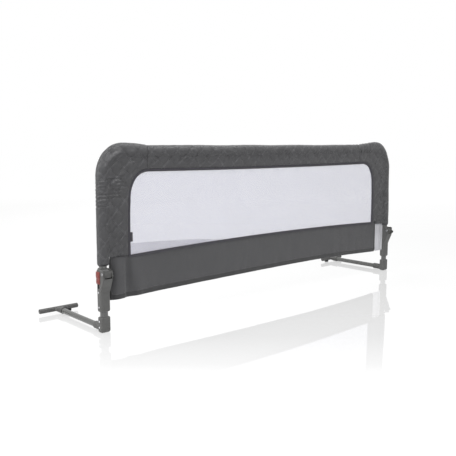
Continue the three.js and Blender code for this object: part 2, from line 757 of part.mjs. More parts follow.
// The net is a plate with rows of gaps; a gap that would reach the round corners is left out
function netGeometry() {
  const shape = new THREE.Shape(windowOutline(-meetGap).map(([x, z]) => new THREE.Vector2(x, z)));
  const { thickness, columns, rows, strand, margin } = net;
  const plate = new THREE.ExtrudeGeometry(shape, { depth: thickness, bevelEnabled: false });
  plate.rotateX(Math.PI / 2).translate(0, thickness / 2, 0);
  const wide = (2 * (windowHalf - margin) + strand) / columns;
  const bottom = windowSill + sillBow + margin;
  const high = (windowTop - headSag - margin - bottom + strand) / rows;
  const gaps = [];
  for (let column = 0; column < columns; column += 1) {
    for (let row = 0; row < rows; row += 1) {
      const left = -windowHalf + margin + column * wide;
      const right = left + wide - strand;
      const low = bottom + row * high;
      const top = low + high - strand;
      const farthest = Math.max(Math.abs(left), Math.abs(right));
      if (top + strand < headHeight(farthest)) {
        const gap = block(spot(left, -overrun, low), spot(right, overrun, top));
        gaps.push(gap.translate(windowMiddle, 0, 0));
      }
    }
  }
  return cut(plate, ...gaps);
}

function topCoverGeometry() {
  const left = -legX + leftSeam + meetGap;
  const right = legX - rightSeam - meetGap;
  const straightStart = Math.max(left, windowMiddle - arcX);
  const rows = Math.round((right - straightStart) / (quiltPitch / 2));
  const places = left < straightStart ? [left] : [];
  for (let row = 0; row <= rows; row += 1) {
    places.push(THREE.MathUtils.lerp(straightStart, right, row / rows));
  }
  const outlines = places.map((x, row) => {
    const edgeAt = { x, z: headHeight(x - windowMiddle, edgeOffset) };
    return coverOutline({ x, z: tubeTopZ }, edgeAt, tubeLong / 2 + topPad, row);
  });
  const ends = [left - overrun, right + overrun].map((x) => ({ x, z: tubeTopZ, angle: Math.PI / 2 }));
  return cut(skin(outlines, false, quiltDiagonal), tubeCore(ends, softGap));
}

// How far the cloth stands out at a place, more so further down
function skirtFold(fromLeft, down) {
  return skirtFolds.reduce((y, { at, width, depth }) => (
    y + depth * down * Math.exp(-(((fromLeft - at) / width) ** 2))
  ), 0);
}

// Even places from one end up to the other, which is left out
function evenly(from, to, step) {
  const count = Math.max(Math.round((to - from) / step), 1);
  return Array.from({ length: count }, (unused, n) => THREE.MathUtils.lerp(from, to, n / count));
}

function skirtGeometry() {
  const left = -legX + skirt.leftEnd;
  const right = legX - skirt.rightEnd;
  const leftPostEdge = windowMiddle - windowHalf - edgeOffset;
  const rightPostEdge = windowMiddle + windowHalf + edgeOffset;
  const cornerShares = [[0, 0], [0.4, 0.06], [0.7, 0.25], [0.9, 0.55], [1, 1]];
  const places = [
    ...evenly(left, leftPostEdge - meetGap, gatheredStep),
    leftPostEdge - meetGap,
    ...evenly(leftPostEdge, left + gathered, gatheredStep),
    ...evenly(left + gathered, rightPostEdge, plainStep),
    rightPostEdge,
    ...cornerShares.map(([along]) => THREE.MathUtils.lerp(rightPostEdge + meetGap, right, along)),
  ];
  const downShares = [0, 0.2, 0.4, 0.6, 0.8, 1];
  const middle = (left + right) / 2;
  const half = (right - left) / 2;
  const outlines = places.map((x, n) => {
    const cornerStep = n - (places.length - cornerShares.length);
    const rise = cornerStep > 0 ? cornerShares[cornerStep][1] * skirt.cornerRise : 0;
    const bottom = skirt.bottom + skirt.bow * (1 - ((x - middle) / half) ** 2) + rise;
    const across = Math.abs(x - windowMiddle);
    const top = across <= windowHalf + edgeOffset
      ? sillHeight(Math.min(across, windowHalf)) - edgeOffset
      : hemHeight - 2 * meetGap;
    const side = (face) => downShares.map((down) => spot(
      x,
      skirtFold(x - left, down) + face * skirt.thickness / 2,
      THREE.MathUtils.lerp(top, bottom, down),
    ));
    return [...side(-1), ...side(1).reverse()];
  });
  return skin(outlines);
}

function stripGeometry() {
  const left = legX - skirt.rightEnd + strip.fromSkirt;
  const acrossShares = [0, 0.08, 0.3, 0.5, 0.7, 0.92, 1];
  const downShares = [0, 0.33, 0.67, 1];
  const top = rightHem.height - 2 * meetGap;
  return skin(acrossShares.map((across, n) => {
    const inset = n === 0 || n === acrossShares.length - 1 ? strip.corner : 0;
    const side = (face) => downShares.map((down) => spot(
      left + across * strip.width,
      strip.wave * down * Math.sin(across * 3 * Math.PI) + face * strip.thickness / 2,
      THREE.MathUtils.lerp(top - inset * 0.2, strip.bottom + inset, down),
    ));
    return [...side(-1), ...side(1).reverse()];
  }));
}

function tabGeometry() {
  const left = windowMiddle - windowHalf + meetGap;
  const back = -net.thickness / 2 - meetGap;
  return block(
    spot(left, back - tab.thickness, tab.bottom),
    spot(left + tab.width, back, tab.bottom + tab.height),
  );
}

// A side piece is drawn with +X pointing away from the rail's middle, so the left one is mirrored
function mirrored(geometry) {
  const copy = mergeVertices(geometry.index ? geometry.clone() : geometry.clone().deleteAttribute('uv'));
  copy.deleteAttribute('normal');
  return facingOut(copy.scale(-1, 1, 1));
}

function add(parent, name, geometry, material) {
  const piece = new THREE.Mesh(geometry, material);
  piece.name = name;
  parent.add(piece);
}

const guardRail = new THREE.Group();
guardRail.position.y = -depthCentre;

const sleeveReach = innerBulge + hemWidth;
const covers = {
  left: {
    band: leftBand,
    seam: leftSeam,
    hemSteps: [[sleeveFoot, sleeveReach], [hemHeight - meetGap, sleeveReach]],
  },
  right: {
    band: rightBand,
    seam: rightSeam,
    hemSteps: [
      [sleeveFoot, sleeveReach],
      [rightHem.height - meetGap, sleeveReach],
      [rightHem.height, rightHem.reach],
      [hemHeight - meetGap, rightHem.reach],
    ],
  },
};

for (const [side, sign] of [['left', -1], ['right', 1]]) {
  const group = new THREE.Group();
  group.position.x = sign * legX;
  guardRail.add(group);
  const place = (name, geometry, material) => {
    add(group, `${side}_${name}`, sign < 0 ? mirrored(geometry) : geometry, material);
  };
  place('crossbar', crossbarGeometry(), plastic);
  place('crossbar_pad', padGeometry(), rubber);
  place('foot_arm', armGeometry(), paint);
  place('elbow_bracket', elbowGeometry(), plastic);
  place('leg_tube', legTubeGeometry(), paint);
  place('hinge_casing', casingGeometry(), plastic);
  place('hinge_knuckle', knuckleGeometry(), plastic);
  place('hinge_pin', hingePinGeometry(), zinc);
  place('release_button', releaseGeometry(), redPlastic);
  place('lock_bolt', boltGeometry(), zinc);
  place('button_spring', springGeometry(), zinc);
  for (const [owner, heights] of Object.entries(rivetHeights)) {
    heights.forEach((height, n) => place(`${owner}_rivet_${n + 1}`, rivetAt(height), zinc));
  }
  const postPin = crossPin(tubeLong).rotateZ(Math.PI / 2);
  place('post_pin', postPin.translate(0, 0, knuckleTop + socket.crossPinRise), zinc);
  const topPin = crossPin(tubeShort).translate(-jointFromLeg + spigotLength / 2, 0, tubeTopZ);
  place('top_pin', topPin, zinc);
  place('corner_tube', cornerTubeGeometry(), paint);
  place('corner_cover', cornerCoverGeometry(covers[side]), quilt);
}

add(guardRail, 'top_tube', topTubeGeometry(), paint);
add(guardRail, 'top_cover', topCoverGeometry(), quilt);
add(guardRail, 'window_binding', bindingGeometry(), tape);
add(guardRail, 'window_net', netGeometry(), mesh);
add(guardRail, 'skirt', skirtGeometry(), cloth);
add(guardRail, 'end_strip', stripGeometry(), satin);
add(guardRail, 'edge_tab', tabGeometry(), tape);

export default guardRail;
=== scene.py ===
# %% [markdown]
# # A folding bed guard rail
# The rail stands beside a bed: two feet reach under the mattress, and a padded frame with a net
# window folds down at a hinge in each foot. The frame that is loaded here holds the exact size and
# place of each part, in metres, with X along the rail, the room at -Y and the floor at Z 0. What
# follows gives each part its finished surface, and never moves a part away from its place.

# %% Load the frame
import json
import math

import bmesh
import bpy
import numpy as np
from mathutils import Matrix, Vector

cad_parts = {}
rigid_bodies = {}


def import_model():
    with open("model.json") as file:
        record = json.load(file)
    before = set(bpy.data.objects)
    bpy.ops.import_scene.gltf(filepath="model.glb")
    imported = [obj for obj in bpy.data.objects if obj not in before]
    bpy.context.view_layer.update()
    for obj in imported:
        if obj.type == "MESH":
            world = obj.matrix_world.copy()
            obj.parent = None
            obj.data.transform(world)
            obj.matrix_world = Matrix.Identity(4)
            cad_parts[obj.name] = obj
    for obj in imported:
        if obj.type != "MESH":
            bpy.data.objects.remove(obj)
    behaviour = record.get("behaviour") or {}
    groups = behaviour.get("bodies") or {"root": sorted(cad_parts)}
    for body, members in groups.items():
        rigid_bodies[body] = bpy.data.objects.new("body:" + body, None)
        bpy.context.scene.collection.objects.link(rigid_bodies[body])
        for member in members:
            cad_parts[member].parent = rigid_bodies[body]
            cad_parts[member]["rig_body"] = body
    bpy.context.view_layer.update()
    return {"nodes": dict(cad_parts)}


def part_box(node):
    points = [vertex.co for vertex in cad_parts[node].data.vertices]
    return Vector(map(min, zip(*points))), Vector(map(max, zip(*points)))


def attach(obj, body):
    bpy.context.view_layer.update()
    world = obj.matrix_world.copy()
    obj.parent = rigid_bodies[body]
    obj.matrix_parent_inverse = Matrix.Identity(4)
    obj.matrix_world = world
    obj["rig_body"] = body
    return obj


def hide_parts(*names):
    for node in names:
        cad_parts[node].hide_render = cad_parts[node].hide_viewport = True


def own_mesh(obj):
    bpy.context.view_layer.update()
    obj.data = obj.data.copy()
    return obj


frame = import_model()
nodes = frame["nodes"]

# %% [markdown]
# ## Camera
# A product photograph is taken from one place. A camera with a moderate lens, level with the
# rail's top and to its left, gives the same slow narrowing towards the far end. The camera is
# placed by numbers and not by eye, so that outlines can be compared with the photograph.

# %% Camera
camera_place = Vector((-1.4835, -1.5801, 0.5048))
camera_turn = math.radians(41.45)  # from straight ahead towards the right
camera_tilt = math.radians(7.632)  # below the horizon
camera_lens = 49.79

camera = bpy.data.objects.new("camera", bpy.data.cameras.new("camera"))
bpy.context.scene.collection.objects.link(camera)
camera.location = camera_place
camera.rotation_euler = (math.pi / 2 - camera_tilt, 0, -camera_turn)
camera.data.lens = camera_lens
bpy.context.scene.camera = camera
print("camera at", tuple(round(v, 3) for v in camera_place))

# %% [markdown]
# ## Shader nodes by name
# Materials are built from nodes. A few small helpers keep that readable: one adds a node and
# fills its sockets by name, and the next three give a sum, a soft step and a noise in one line.

# %% Helpers for nodes
def fill(tree, node, sockets):
    """Links a socket, or writes a value, into each named input."""
    for name, value in sockets.items():
        if isinstance(value, bpy.types.NodeSocket):
            tree.links.new(value, node.inputs[name])
        else:
            node.inputs[name].default_value = value
    return node


def add_node(tree, kind, sockets=None, **settings):
    new = tree.nodes.new(kind)
    for name, value in settings.items():
        setattr(new, name, value)
    return fill(tree, new, sockets or {})


def maths(tree, operation, first, second=0.0, third=0.0):
    values = {0: first, 1: second, 2: third}
    return add_node(tree, "ShaderNodeMath", values, operation=operation).outputs[0]


def steps_from(tree, value, low, high, to_low=0.0, to_high=1.0):
    """A soft step: to_low below low, to_high above high."""
    sockets = {"Value": value, "From Min": low, "From Max": high, "To Min": to_low, "To Max": to_high}
    ramp = add_node(tree, "ShaderNodeMapRange", sockets, interpolation_type="SMOOTHSTEP")
    return ramp.outputs["Result"]


def noise(tree, place, scale, detail, distortion=0.0):
    sockets = {"Vector": place, "Scale": scale, "Detail": detail, "Distortion": distortion}
    return add_node(tree, "ShaderNodeTexNoise", sockets).outputs["Fac"]


print("node helpers ready")

# %% [markdown]
# A node group is an effect that several materials can share, each with its own values. Its
# inputs have names and start values, and it gives out only values, so a material stays in charge
# of its own shader.

# %% Helpers for node groups
def start_group(name, inputs, outputs):
    """A new node group with its inputs, as (name, kind, start value), and its outputs' names."""
    tree = bpy.data.node_groups.new(name, "ShaderNodeTree")
    for label, kind, value in inputs:
        socket = tree.interface.new_socket(label, in_out="INPUT", socket_type="NodeSocket" + kind)
        if value is not None:
            socket.default_value = value
    for label in outputs:
        tree.interface.new_socket(label, in_out="OUTPUT", socket_type="NodeSocketFloat")
    return tree, add_node(tree, "NodeGroupInput").outputs


def end_group(tree, **results):
    add_node(tree, "NodeGroupOutput", results)
    return tree


def use_group(tree, group, **sockets):
    new = tree.nodes.new("ShaderNodeGroup")
    new.node_tree = group
    return fill(tree, new, sockets).outputs


print("group helpers ready")

# %% [markdown]
# ## Effects that several finishes share
# Cloth is woven: each thread goes over one crossing thread and under the next. The weave group
# draws that as a small height, from a place on the cloth that is measured in metres, so that the
# threads keep their size wherever the cloth goes. A picture of cloth could do this too, but it
# would be one more file and would blur from close by.

# %% The weave
def make_weave():
    tree, given = start_group(
        "weave", [("Place", "Vector", None), ("Thread", "Float", 0.0005)], ["Height", "Over"]
    )
    place = add_node(tree, "ShaderNodeSeparateXYZ", {"Vector": given["Place"]}).outputs
    across = maths(tree, "DIVIDE", place["X"], given["Thread"])
    along = maths(tree, "DIVIDE", place["Y"], given["Thread"])
    rounds = [
        maths(tree, "ABSOLUTE", maths(tree, "SINE", maths(tree, "MULTIPLY", way, math.pi)))
        for way in (across, along)
    ]
    square = maths(tree, "ADD", maths(tree, "FLOOR", across), maths(tree, "FLOOR", along))
    over = maths(tree, "PINGPONG", square, 1.0)
    height = add_node(tree, "ShaderNodeMix", {"Factor": over, "A": rounds[0], "B": rounds[1]})
    return end_group(tree, Height=height.outputs["Result"], Over=over)


weave = make_weave()
print("weave group has", len(weave.nodes), "nodes")

# %% [markdown]
# No dyed cloth or moulded plastic has one flat colour. A broad, soft noise moves the tone up and
# down a few percent, and a finer one gives a surface its grain. Both are groups, so that each
# material sets its own patch size and strength.

# %% Tone and grain
def make_tone():
    tree, given = start_group(
        "uneven_tone",
        [("Place", "Vector", None), ("Patch", "Float", 0.05), ("Amount", "Float", 0.1)],
        ["Tone"],
    )
    scale = maths(tree, "DIVIDE", 1.0, given["Patch"])
    swing = maths(tree, "MULTIPLY_ADD", noise(tree, given["Place"], scale, 5.0), 2.0, -1.0)
    return end_group(tree, Tone=maths(tree, "MULTIPLY_ADD", swing, given["Amount"], 1.0))


def make_grain():
    tree, given = start_group(
        "moulded_grain", [("Place", "Vector", None), ("Grain", "Float", 0.001)], ["Height"]
    )
    scale = maths(tree, "DIVIDE", 1.0, given["Grain"])
    sockets = {"Vector": given["Place"], "Scale": scale}
    cells = add_node(tree, "ShaderNodeTexVoronoi", sockets, feature="SMOOTH_F1")
    fine = noise(tree, given["Place"], scale, 3.0)
    return end_group(tree, Height=maths(tree, "MULTIPLY_ADD", fine, 0.5, cells.outputs["Distance"]))


uneven_tone = make_tone()
moulded_grain = make_grain()
print("tone and grain groups ready")

# %% [markdown]
# Handling rubs the corners first. A surface knows where it is sharp, and a noise breaks that line
# up, so that the wear comes and goes along an edge. The lighter edge colour is also a painted
# highlight along the edges. It could be painted by hand, but this way it follows the shape by itself.

# %% Wear and painted highlight along edges
sharp_from, sharp_to = 0.53, 0.62  # how pointed a surface is where wear starts, and where it is full


def make_edge_wear_and_highlight():
    tree, given = start_group(
        "edge_wear_and_highlight", [("Place", "Vector", None), ("Patch", "Float", 0.006)], ["Wear"]
    )
    pointed = add_node(tree, "ShaderNodeNewGeometry").outputs["Pointiness"]
    edge = steps_from(tree, pointed, sharp_from, sharp_to)
    scale = maths(tree, "DIVIDE", 1.0, given["Patch"])
    patch = steps_from(tree, noise(tree, given["Place"], scale, 6.0), 0.42, 0.66)
    return end_group(tree, Wear=maths(tree, "MULTIPLY", edge, patch))


edge_wear_and_highlight = make_edge_wear_and_highlight()
print("wear group has", len(edge_wear_and_highlight.nodes), "nodes")

# %% [markdown]
# A sewn line is a row of short dashes, each sunk a little into the cloth. One function draws a
# row from two lengths: how far along the row a point lies, and how far beside it. Modelled
# stitches would be thousands of small loops, and from a step away a mask looks the same.

# %% Sewn lines
stitch_length = 0.0032
thread_width = 0.0008


def sewn_row(tree, along, beside):
    """(thread, dip) for a row of stitches: 1 on the thread, and 1 at the bottom of its dip."""
    away = maths(tree, "ABSOLUTE", beside)
    line = steps_from(tree, away, thread_width * 0.3, thread_width * 0.7, 1.0, 0.0)
    dash = maths(tree, "PINGPONG", maths(tree, "DIVIDE", along, stitch_length / 2), 1.0)
    on = steps_from(tree, dash, 0.12, 0.24)
    dip = steps_from(tree, away, 0.0, thread_width * 3, 1.0, 0.0)
    return maths(tree, "MULTIPLY", line, on), dip


def make_single_row():
    tree, given = start_group(
        "sewn_row", [("Along", "Float", 0.0), ("Beside", "Float", 0.0)], ["Thread", "Dip"]
    )
    thread, dip = sewn_row(tree, given["Along"], given["Beside"])
    return end_group(tree, Thread=thread, Dip=dip)


single_row = make_single_row()
print("sewn row group has", len(single_row.nodes), "nodes")

# %% [markdown]
# The quilting is sewn with two needles side by side, in lines that cross at right angles and run
# at half a right angle to the rail. The same pitch shapes the pillows further down. Folding the
# cloth's plane back and forth at that pitch draws all the lines at once.

# %% Quilting lines
quilt_repeat = 0.044  # along the rail, from one crossing to the next
line_pitch = quilt_repeat / math.sqrt(2)
needle_gap = 0.003


def make_quilting():
    tree, given = start_group("quilting", [("Place", "Vector", None)], ["Thread", "Dip"])
    place = add_node(tree, "ShaderNodeSeparateXYZ", {"Vector": given["Place"]}).outputs
    rising = maths(tree, "MULTIPLY", maths(tree, "ADD", place["X"], place["Y"]), math.sqrt(0.5))
    falling = maths(tree, "MULTIPLY", maths(tree, "SUBTRACT", place["X"], place["Y"]), math.sqrt(0.5))
    threads = []
    dips = []
    for beside, along in ((rising, falling), (falling, rising)):
        from_line = maths(tree, "PINGPONG", beside, line_pitch / 2)
        nearest = maths(tree, "SUBTRACT", from_line, needle_gap / 2)
        thread, dip = sewn_row(tree, along, nearest)
        threads.append(thread)
        dips.append(dip)
    both = [maths(tree, "MAXIMUM", *pair) for pair in (threads, dips)]
    return end_group(tree, Thread=both[0], Dip=both[1])


quilting = make_quilting()
print("quilting lines every", round(line_pitch * 1000, 1), "mm")

# %% [markdown]
# The window is a knitted net. Its holes stand in rows, each row shifted by half a hole, and the
# cloth between them is what the eye sees as a pale haze. The group says where there is thread.
# Cutting the holes into the mesh would take tens of thousands of them, while a mask costs
# nothing.

# %% Holes of the net
def make_net_holes():
    tree, given = start_group(
        "net_holes",
        [("Place", "Vector", None), ("Cell", "Float", 0.0024), ("Hole", "Float", 0.36)],
        ["Thread"],
    )
    place = add_node(tree, "ShaderNodeSeparateXYZ", {"Vector": given["Place"]}).outputs
    across = maths(tree, "DIVIDE", place["X"], maths(tree, "MULTIPLY", given["Cell"], math.sqrt(3)))
    along = maths(tree, "DIVIDE", place["Y"], given["Cell"])
    away = []
    for shift in (0.0, 0.5):
        parts = []
        for way, size in ((across, math.sqrt(3)), (along, 1.0)):
            inside = maths(tree, "FRACT", maths(tree, "ADD", way, shift))
            parts.append(maths(tree, "MULTIPLY", maths(tree, "SUBTRACT", inside, 0.5), size))
        squares = [maths(tree, "MULTIPLY", part, part) for part in parts]
        away.append(maths(tree, "SQRT", maths(tree, "ADD", *squares)))
    nearest = maths(tree, "MINIMUM", *away)
    from_rim = maths(tree, "SUBTRACT", nearest, given["Hole"])
    return end_group(tree, Thread=steps_from(tree, from_rim, -0.03, 0.03))


net_holes = make_net_holes()
print("net group has", len(net_holes.nodes), "nodes")

# %% [markdown]
# ## Finishes
# Each finish is one material with the shader in it, named as the record names its slot. Colours
# are written as they look on a screen and turned into the linear values that light adds up in.

# %% A material's frame
def screen_colour(red, green, blue):
    """A colour of a screen's 0 to 255 values, as linear light."""
    shares = [value / 255 for value in (red, green, blue)]
    return (*[v / 12.92 if v <= 0.04045 else ((v + 0.055) / 1.055) ** 2.4 for v in shares], 1.0)


def start_finish(name, slot=None, **shader_values):
    material = bpy.data.materials.new(name + "_finish")
    material["slot"] = slot or name
    material.use_nodes = True
    tree = material.node_tree
    shader = tree.nodes["Principled BSDF"]
    for label, value in shader_values.items():
        shader.inputs[label.replace("_", " ")].default_value = value
    return material, tree, shader


def mesh_value(tree, name):
    """A value that a mesh keeps for each of its points."""
    return add_node(tree, "ShaderNodeAttribute", attribute_name=name).outputs["Fac"]


def cloth_place(tree):
    return add_node(tree, "ShaderNodeAttribute", attribute_name="cloth_m").outputs["Vector"]


def object_place(tree):
    return add_node(tree, "ShaderNodeTexCoord").outputs["Object"]


print("finish helpers ready")

# %% [markdown]
# Three small steps come back in every finish: a colour made lighter or darker, two colours mixed
# by a mask, and a height that bends the surface's normal.

# %% Colours and heights
def toned(tree, colour, tone):
    """The colour, lighter or darker by a factor that changes over the surface."""
    sockets = {0: colour[:3], "Scale": tone}
    return add_node(tree, "ShaderNodeVectorMath", sockets, operation="SCALE").outputs["Vector"]


def mixed(tree, factor, below, above):
    blend = add_node(tree, "ShaderNodeMix", data_type="RGBA")
    return fill(tree, blend, {0: factor, 6: below, 7: above}).outputs[2]


def raised(tree, height, distance, below=None):
    sockets = {"Height": height, "Distance": distance, "Strength": 1.0}
    if below is not None:
        sockets["Normal"] = below
    return add_node(tree, "ShaderNodeBump", sockets).outputs["Normal"]


print("colour and height helpers ready")

# %% [markdown]
# The cover is a coated polyester over thin wadding: dark grey, a little shiny where it bulges.
# Its tone shifts in patches, the threads show from close by, and the two-needle lines are sunk,
# so that their sewing thread is seen in places only. That thread is much lighter than the cloth,
# so it also paints the highlights that the quilted lines catch.

# %% Quilted cloth
cover_roughness = 0.35


def quilted_cloth_finish():
    material, tree, shader = start_finish(
        "quilted_cloth", Roughness=cover_roughness, Sheen_Weight=0.05, Sheen_Roughness=0.4
    )
    place = cloth_place(tree)
    threads = use_group(tree, weave, Place=place, Thread=0.00055)
    sewn = use_group(tree, quilting, Place=place)
    tone = use_group(tree, uneven_tone, Place=place, Patch=0.03, Amount=0.12)["Tone"]
    worn = use_group(tree, uneven_tone, Place=place, Patch=0.11, Amount=0.15)["Tone"]
    cloth = toned(tree, screen_colour(61, 61, 63), maths(tree, "MULTIPLY", tone, worn))
    unsunk = steps_from(tree, noise(tree, place, 38.0, 2.0), 0.4, 0.62, 0.15, 1.0)
    showing = maths(tree, "MULTIPLY", sewn["Thread"], unsunk)
    # A light thread colour: real thread, and also a painted highlight along the quilted lines.
    threaded = mixed(tree, showing, cloth, screen_colour(110, 110, 113))
    tree.links.new(threaded, shader.inputs["Base Color"])
    tree.links.new(maths(tree, "MULTIPLY", tone, cover_roughness), shader.inputs["Roughness"])
    normal = raised(tree, threads["Height"], 0.00012)
    normal = raised(tree, maths(tree, "SUBTRACT", sewn["Thread"], sewn["Dip"]), 0.0005, normal)
    normal = raised(tree, noise(tree, place, 90.0, 4.0, 0.6), 0.0006, normal)
    tree.links.new(normal, shader.inputs["Normal"])
    return material


quilted_cloth = quilted_cloth_finish()
print("cover finish:", quilted_cloth.name)

# %% [markdown]
# The skirt, the tape and the satin strip are plain weaves with a row of stitches. Past that row
# the cloth is folded over and lies double. On one side of the seam the colour is darkened, as a
# painted shade. The mesh keeps how far a point lies along its seam and beside it, so one recipe
# serves all three.

# %% Woven cloth
seam_blur = 0.0006  # half the width of the step from single to double cloth
thread_lighter = 24  # how much lighter a sewing thread is than its cloth, of 255


def woven_finish(name, colour, thread, patch, roughness, sheen, crease, seam_shade_tone):
    """seam_shade_tone is the cloth's tone on the low side of its seam, darkened as a painted shade."""
    material, tree, shader = start_finish(name, Roughness=roughness, Sheen_Weight=sheen)
    place = cloth_place(tree)
    threads = use_group(tree, weave, Place=place, Thread=thread)
    tone = use_group(tree, uneven_tone, Place=place, Patch=patch, Amount=0.16)["Tone"]
    beside = mesh_value(tree, "beside_seam")
    sewn = use_group(tree, single_row, Along=mesh_value(tree, "along_seam"), Beside=beside)
    # A painted shade: the cloth's colour is darker on the low side of its seam.
    seam_shade = steps_from(tree, beside, -seam_blur, seam_blur, seam_shade_tone, 1.0)
    cloth = toned(tree, screen_colour(*colour), maths(tree, "MULTIPLY", tone, seam_shade))
    thread_colour = screen_colour(*[min(value + thread_lighter, 235) for value in colour])
    tree.links.new(mixed(tree, sewn["Thread"], cloth, thread_colour), shader.inputs["Base Color"])
    tree.links.new(maths(tree, "MULTIPLY", tone, roughness), shader.inputs["Roughness"])
    normal = raised(tree, threads["Height"], thread / 4)
    normal = raised(tree, maths(tree, "SUBTRACT", sewn["Thread"], sewn["Dip"]), 0.0004, normal)
    normal = raised(tree, noise(tree, place, 26.0, 3.0), crease, normal)
    tree.links.new(normal, shader.inputs["Normal"])
    return material


plain_cloth = woven_finish(
    "plain_cloth", (67, 67, 69),
    thread=0.0005, patch=0.06, roughness=0.6, sheen=0.1, crease=0.002, seam_shade_tone=0.4,
)
binding_tape = woven_finish(
    "binding_tape", (59, 57, 64),
    thread=0.0007, patch=0.03, roughness=0.75, sheen=0.05, crease=0.0006, seam_shade_tone=0.8,
)
satin_strip = woven_finish(
    "satin_strip", (210, 210, 215),
    thread=0.0003, patch=0.03, roughness=0.38, sheen=0.2, crease=0.0016, seam_shade_tone=0.9,
)
print("woven finishes:", plain_cloth.name, binding_tape.name, satin_strip.name)

# %% [markdown]
# The net's threads are pale and matt, and the holes between them are truly open, so what stands
# behind the window shows through it. Where it is turned back, its second layer is given a lighter,
# less blue colour: painted light that offsets the shade this layer lies in.

# %% Net finish
def mesh_cloth_finish(name, colour):
    material, tree, shader = start_finish(name, "mesh_cloth", Roughness=0.8, Sheen_Weight=0.1)
    place = cloth_place(tree)
    thread = use_group(tree, net_holes, Place=place, Cell=0.0024, Hole=0.36)["Thread"]
    tone = use_group(tree, uneven_tone, Place=place, Patch=0.12, Amount=0.05)["Tone"]
    tree.links.new(toned(tree, screen_colour(*colour), tone), shader.inputs["Base Color"])
    tree.links.new(thread, shader.inputs["Alpha"])
    tree.links.new(raised(tree, thread, 0.0003), shader.inputs["Normal"])
    return material


mesh_cloth = mesh_cloth_finish("mesh_cloth", (192, 193, 213))
# A lighter copy of the net's finish: painted light for the layer that lies in shade.
lightened_turned_net = mesh_cloth_finish("lightened_turned_net", (222, 218, 211))
print("net finishes:", mesh_cloth.name, lightened_turned_net.name)

# %% [markdown]
# The hard parts are moulded plastic, painted steel tube, a red release, zinc rivets and rubber
# soles. They share one recipe: a toned colour, a grain in the surface, and lighter edges, which
# are partly wear that shows what lies under the finish and partly a painted highlight.

# %% Hard finishes
def hard_finish(name, colour, worn, roughness, grain, depth, slot=None, **values):
    """grain is the width of the surface's grains and depth their height, both in metres."""
    material, tree, shader = start_finish(name, slot, Roughness=roughness, **values)
    place = object_place(tree)
    tone = use_group(tree, uneven_tone, Place=place, Patch=0.02, Amount=0.08)["Tone"]
    worn_and_lit_edges = use_group(tree, edge_wear_and_highlight, Place=place, Patch=0.005)["Wear"]
    height = use_group(tree, moulded_grain, Place=place, Grain=grain)["Height"]
    body = toned(tree, screen_colour(*colour), tone)
    # The lighter edge colour is wear and also a painted highlight.
    tree.links.new(mixed(tree, worn_and_lit_edges, body, screen_colour(*worn)), shader.inputs["Base Color"])
    smear = use_group(tree, uneven_tone, Place=place, Patch=0.008, Amount=0.2)["Tone"]
    tree.links.new(maths(tree, "MULTIPLY", smear, roughness), shader.inputs["Roughness"])
    tree.links.new(raised(tree, height, depth), shader.inputs["Normal"])
    return material


grey_plastic = hard_finish(
    "grey_plastic", (82, 82, 81), (118, 118, 114), roughness=0.5, grain=0.0009, depth=0.00006
)
# A darker copy of the grey plastic: painted shade for the knuckle, which sits in shade under the
# cover's foot and between the cheeks.
shaded_knuckle_plastic = hard_finish(
    "shaded_knuckle_plastic", (77, 77, 76), (110, 110, 108),
    roughness=0.55, grain=0.0009, depth=0.00006, slot="grey_plastic",
)
red_plastic = hard_finish(
    "red_plastic", (116, 50, 44), (170, 96, 88), roughness=0.4, grain=0.0009, depth=0.00005
)
rubber = hard_finish("rubber", (40, 40, 42), (62, 62, 62), roughness=0.85, grain=0.0007, depth=0.0001)
print("plastic finishes ready, and rubber")

# %% [markdown]
# Steel comes in four finishes. The frame's tube is painted, the arm under the mattress is rubbed
# bright, the rivets are zinc plated, and the hinge's pin has lost its shine.

# %% Steel finishes
painted_tube = hard_finish(
    "painted_tube", (86, 86, 86), (132, 131, 128),
    roughness=0.3, grain=0.0014, depth=0.00005, Coat_Weight=0.4, Coat_Roughness=0.12,
)
bright_arm = hard_finish(
    "bright_arm", (74, 75, 73), (120, 120, 118),
    roughness=0.14, grain=0.002, depth=0.00002, slot="painted_tube", IOR=1.8,
)
zinc = hard_finish(
    "zinc", (190, 190, 193), (220, 220, 220), roughness=0.34, grain=0.0006, depth=0.00003, Metallic=1.0
)
dull_pin = hard_finish(
    "dull_pin", (150, 150, 152), (180, 180, 180),
    roughness=0.3, grain=0.0006, depth=0.00003, slot="zinc", Metallic=1.0,
)
print("steel finishes ready")

# %% [markdown]
# ## Building meshes
# Most pieces are skins over a row of outlines, like ribs under a boat's hull. Each outline has
# the same number of points, and point i lies across from point count - 1 - i, so that an end
# closes with straight rungs.

# %% Helpers for meshes
def skin(rings, looped=False, capped=True):
    """(points, faces) over rings, an array of rows by points by 3."""
    rows, count = rings.shape[:2]
    row = np.arange(rows if looped else rows - 1)[:, None]
    point = np.arange(count)[None, :]
    after = (row + 1) % rows
    beside = (point + 1) % count
    corners = [row * count + point, row * count + beside, after * count + beside, after * count + point]
    faces = np.stack([np.broadcast_to(corner, (len(row), count)) for corner in corners], -1)
    faces = faces.reshape(-1, 4).tolist()
    if capped and not looped:
        for rung in range(count // 2 - 1):
            rungs = [rung + 1, rung, count - 1 - rung, count - 2 - rung]
            faces.append(rungs)
            faces.append([(rows - 1) * count + index for index in reversed(rungs)])
    return rings.reshape(-1, 3), faces


def merged(*parts):
    """Several (points, faces) as one."""
    points = np.concatenate([part[0] for part in parts])
    faces = []
    start = 0
    for part_points, part_faces in parts:
        faces.extend([[index + start for index in face] for face in part_faces])
        start += len(part_points)
    return points, faces


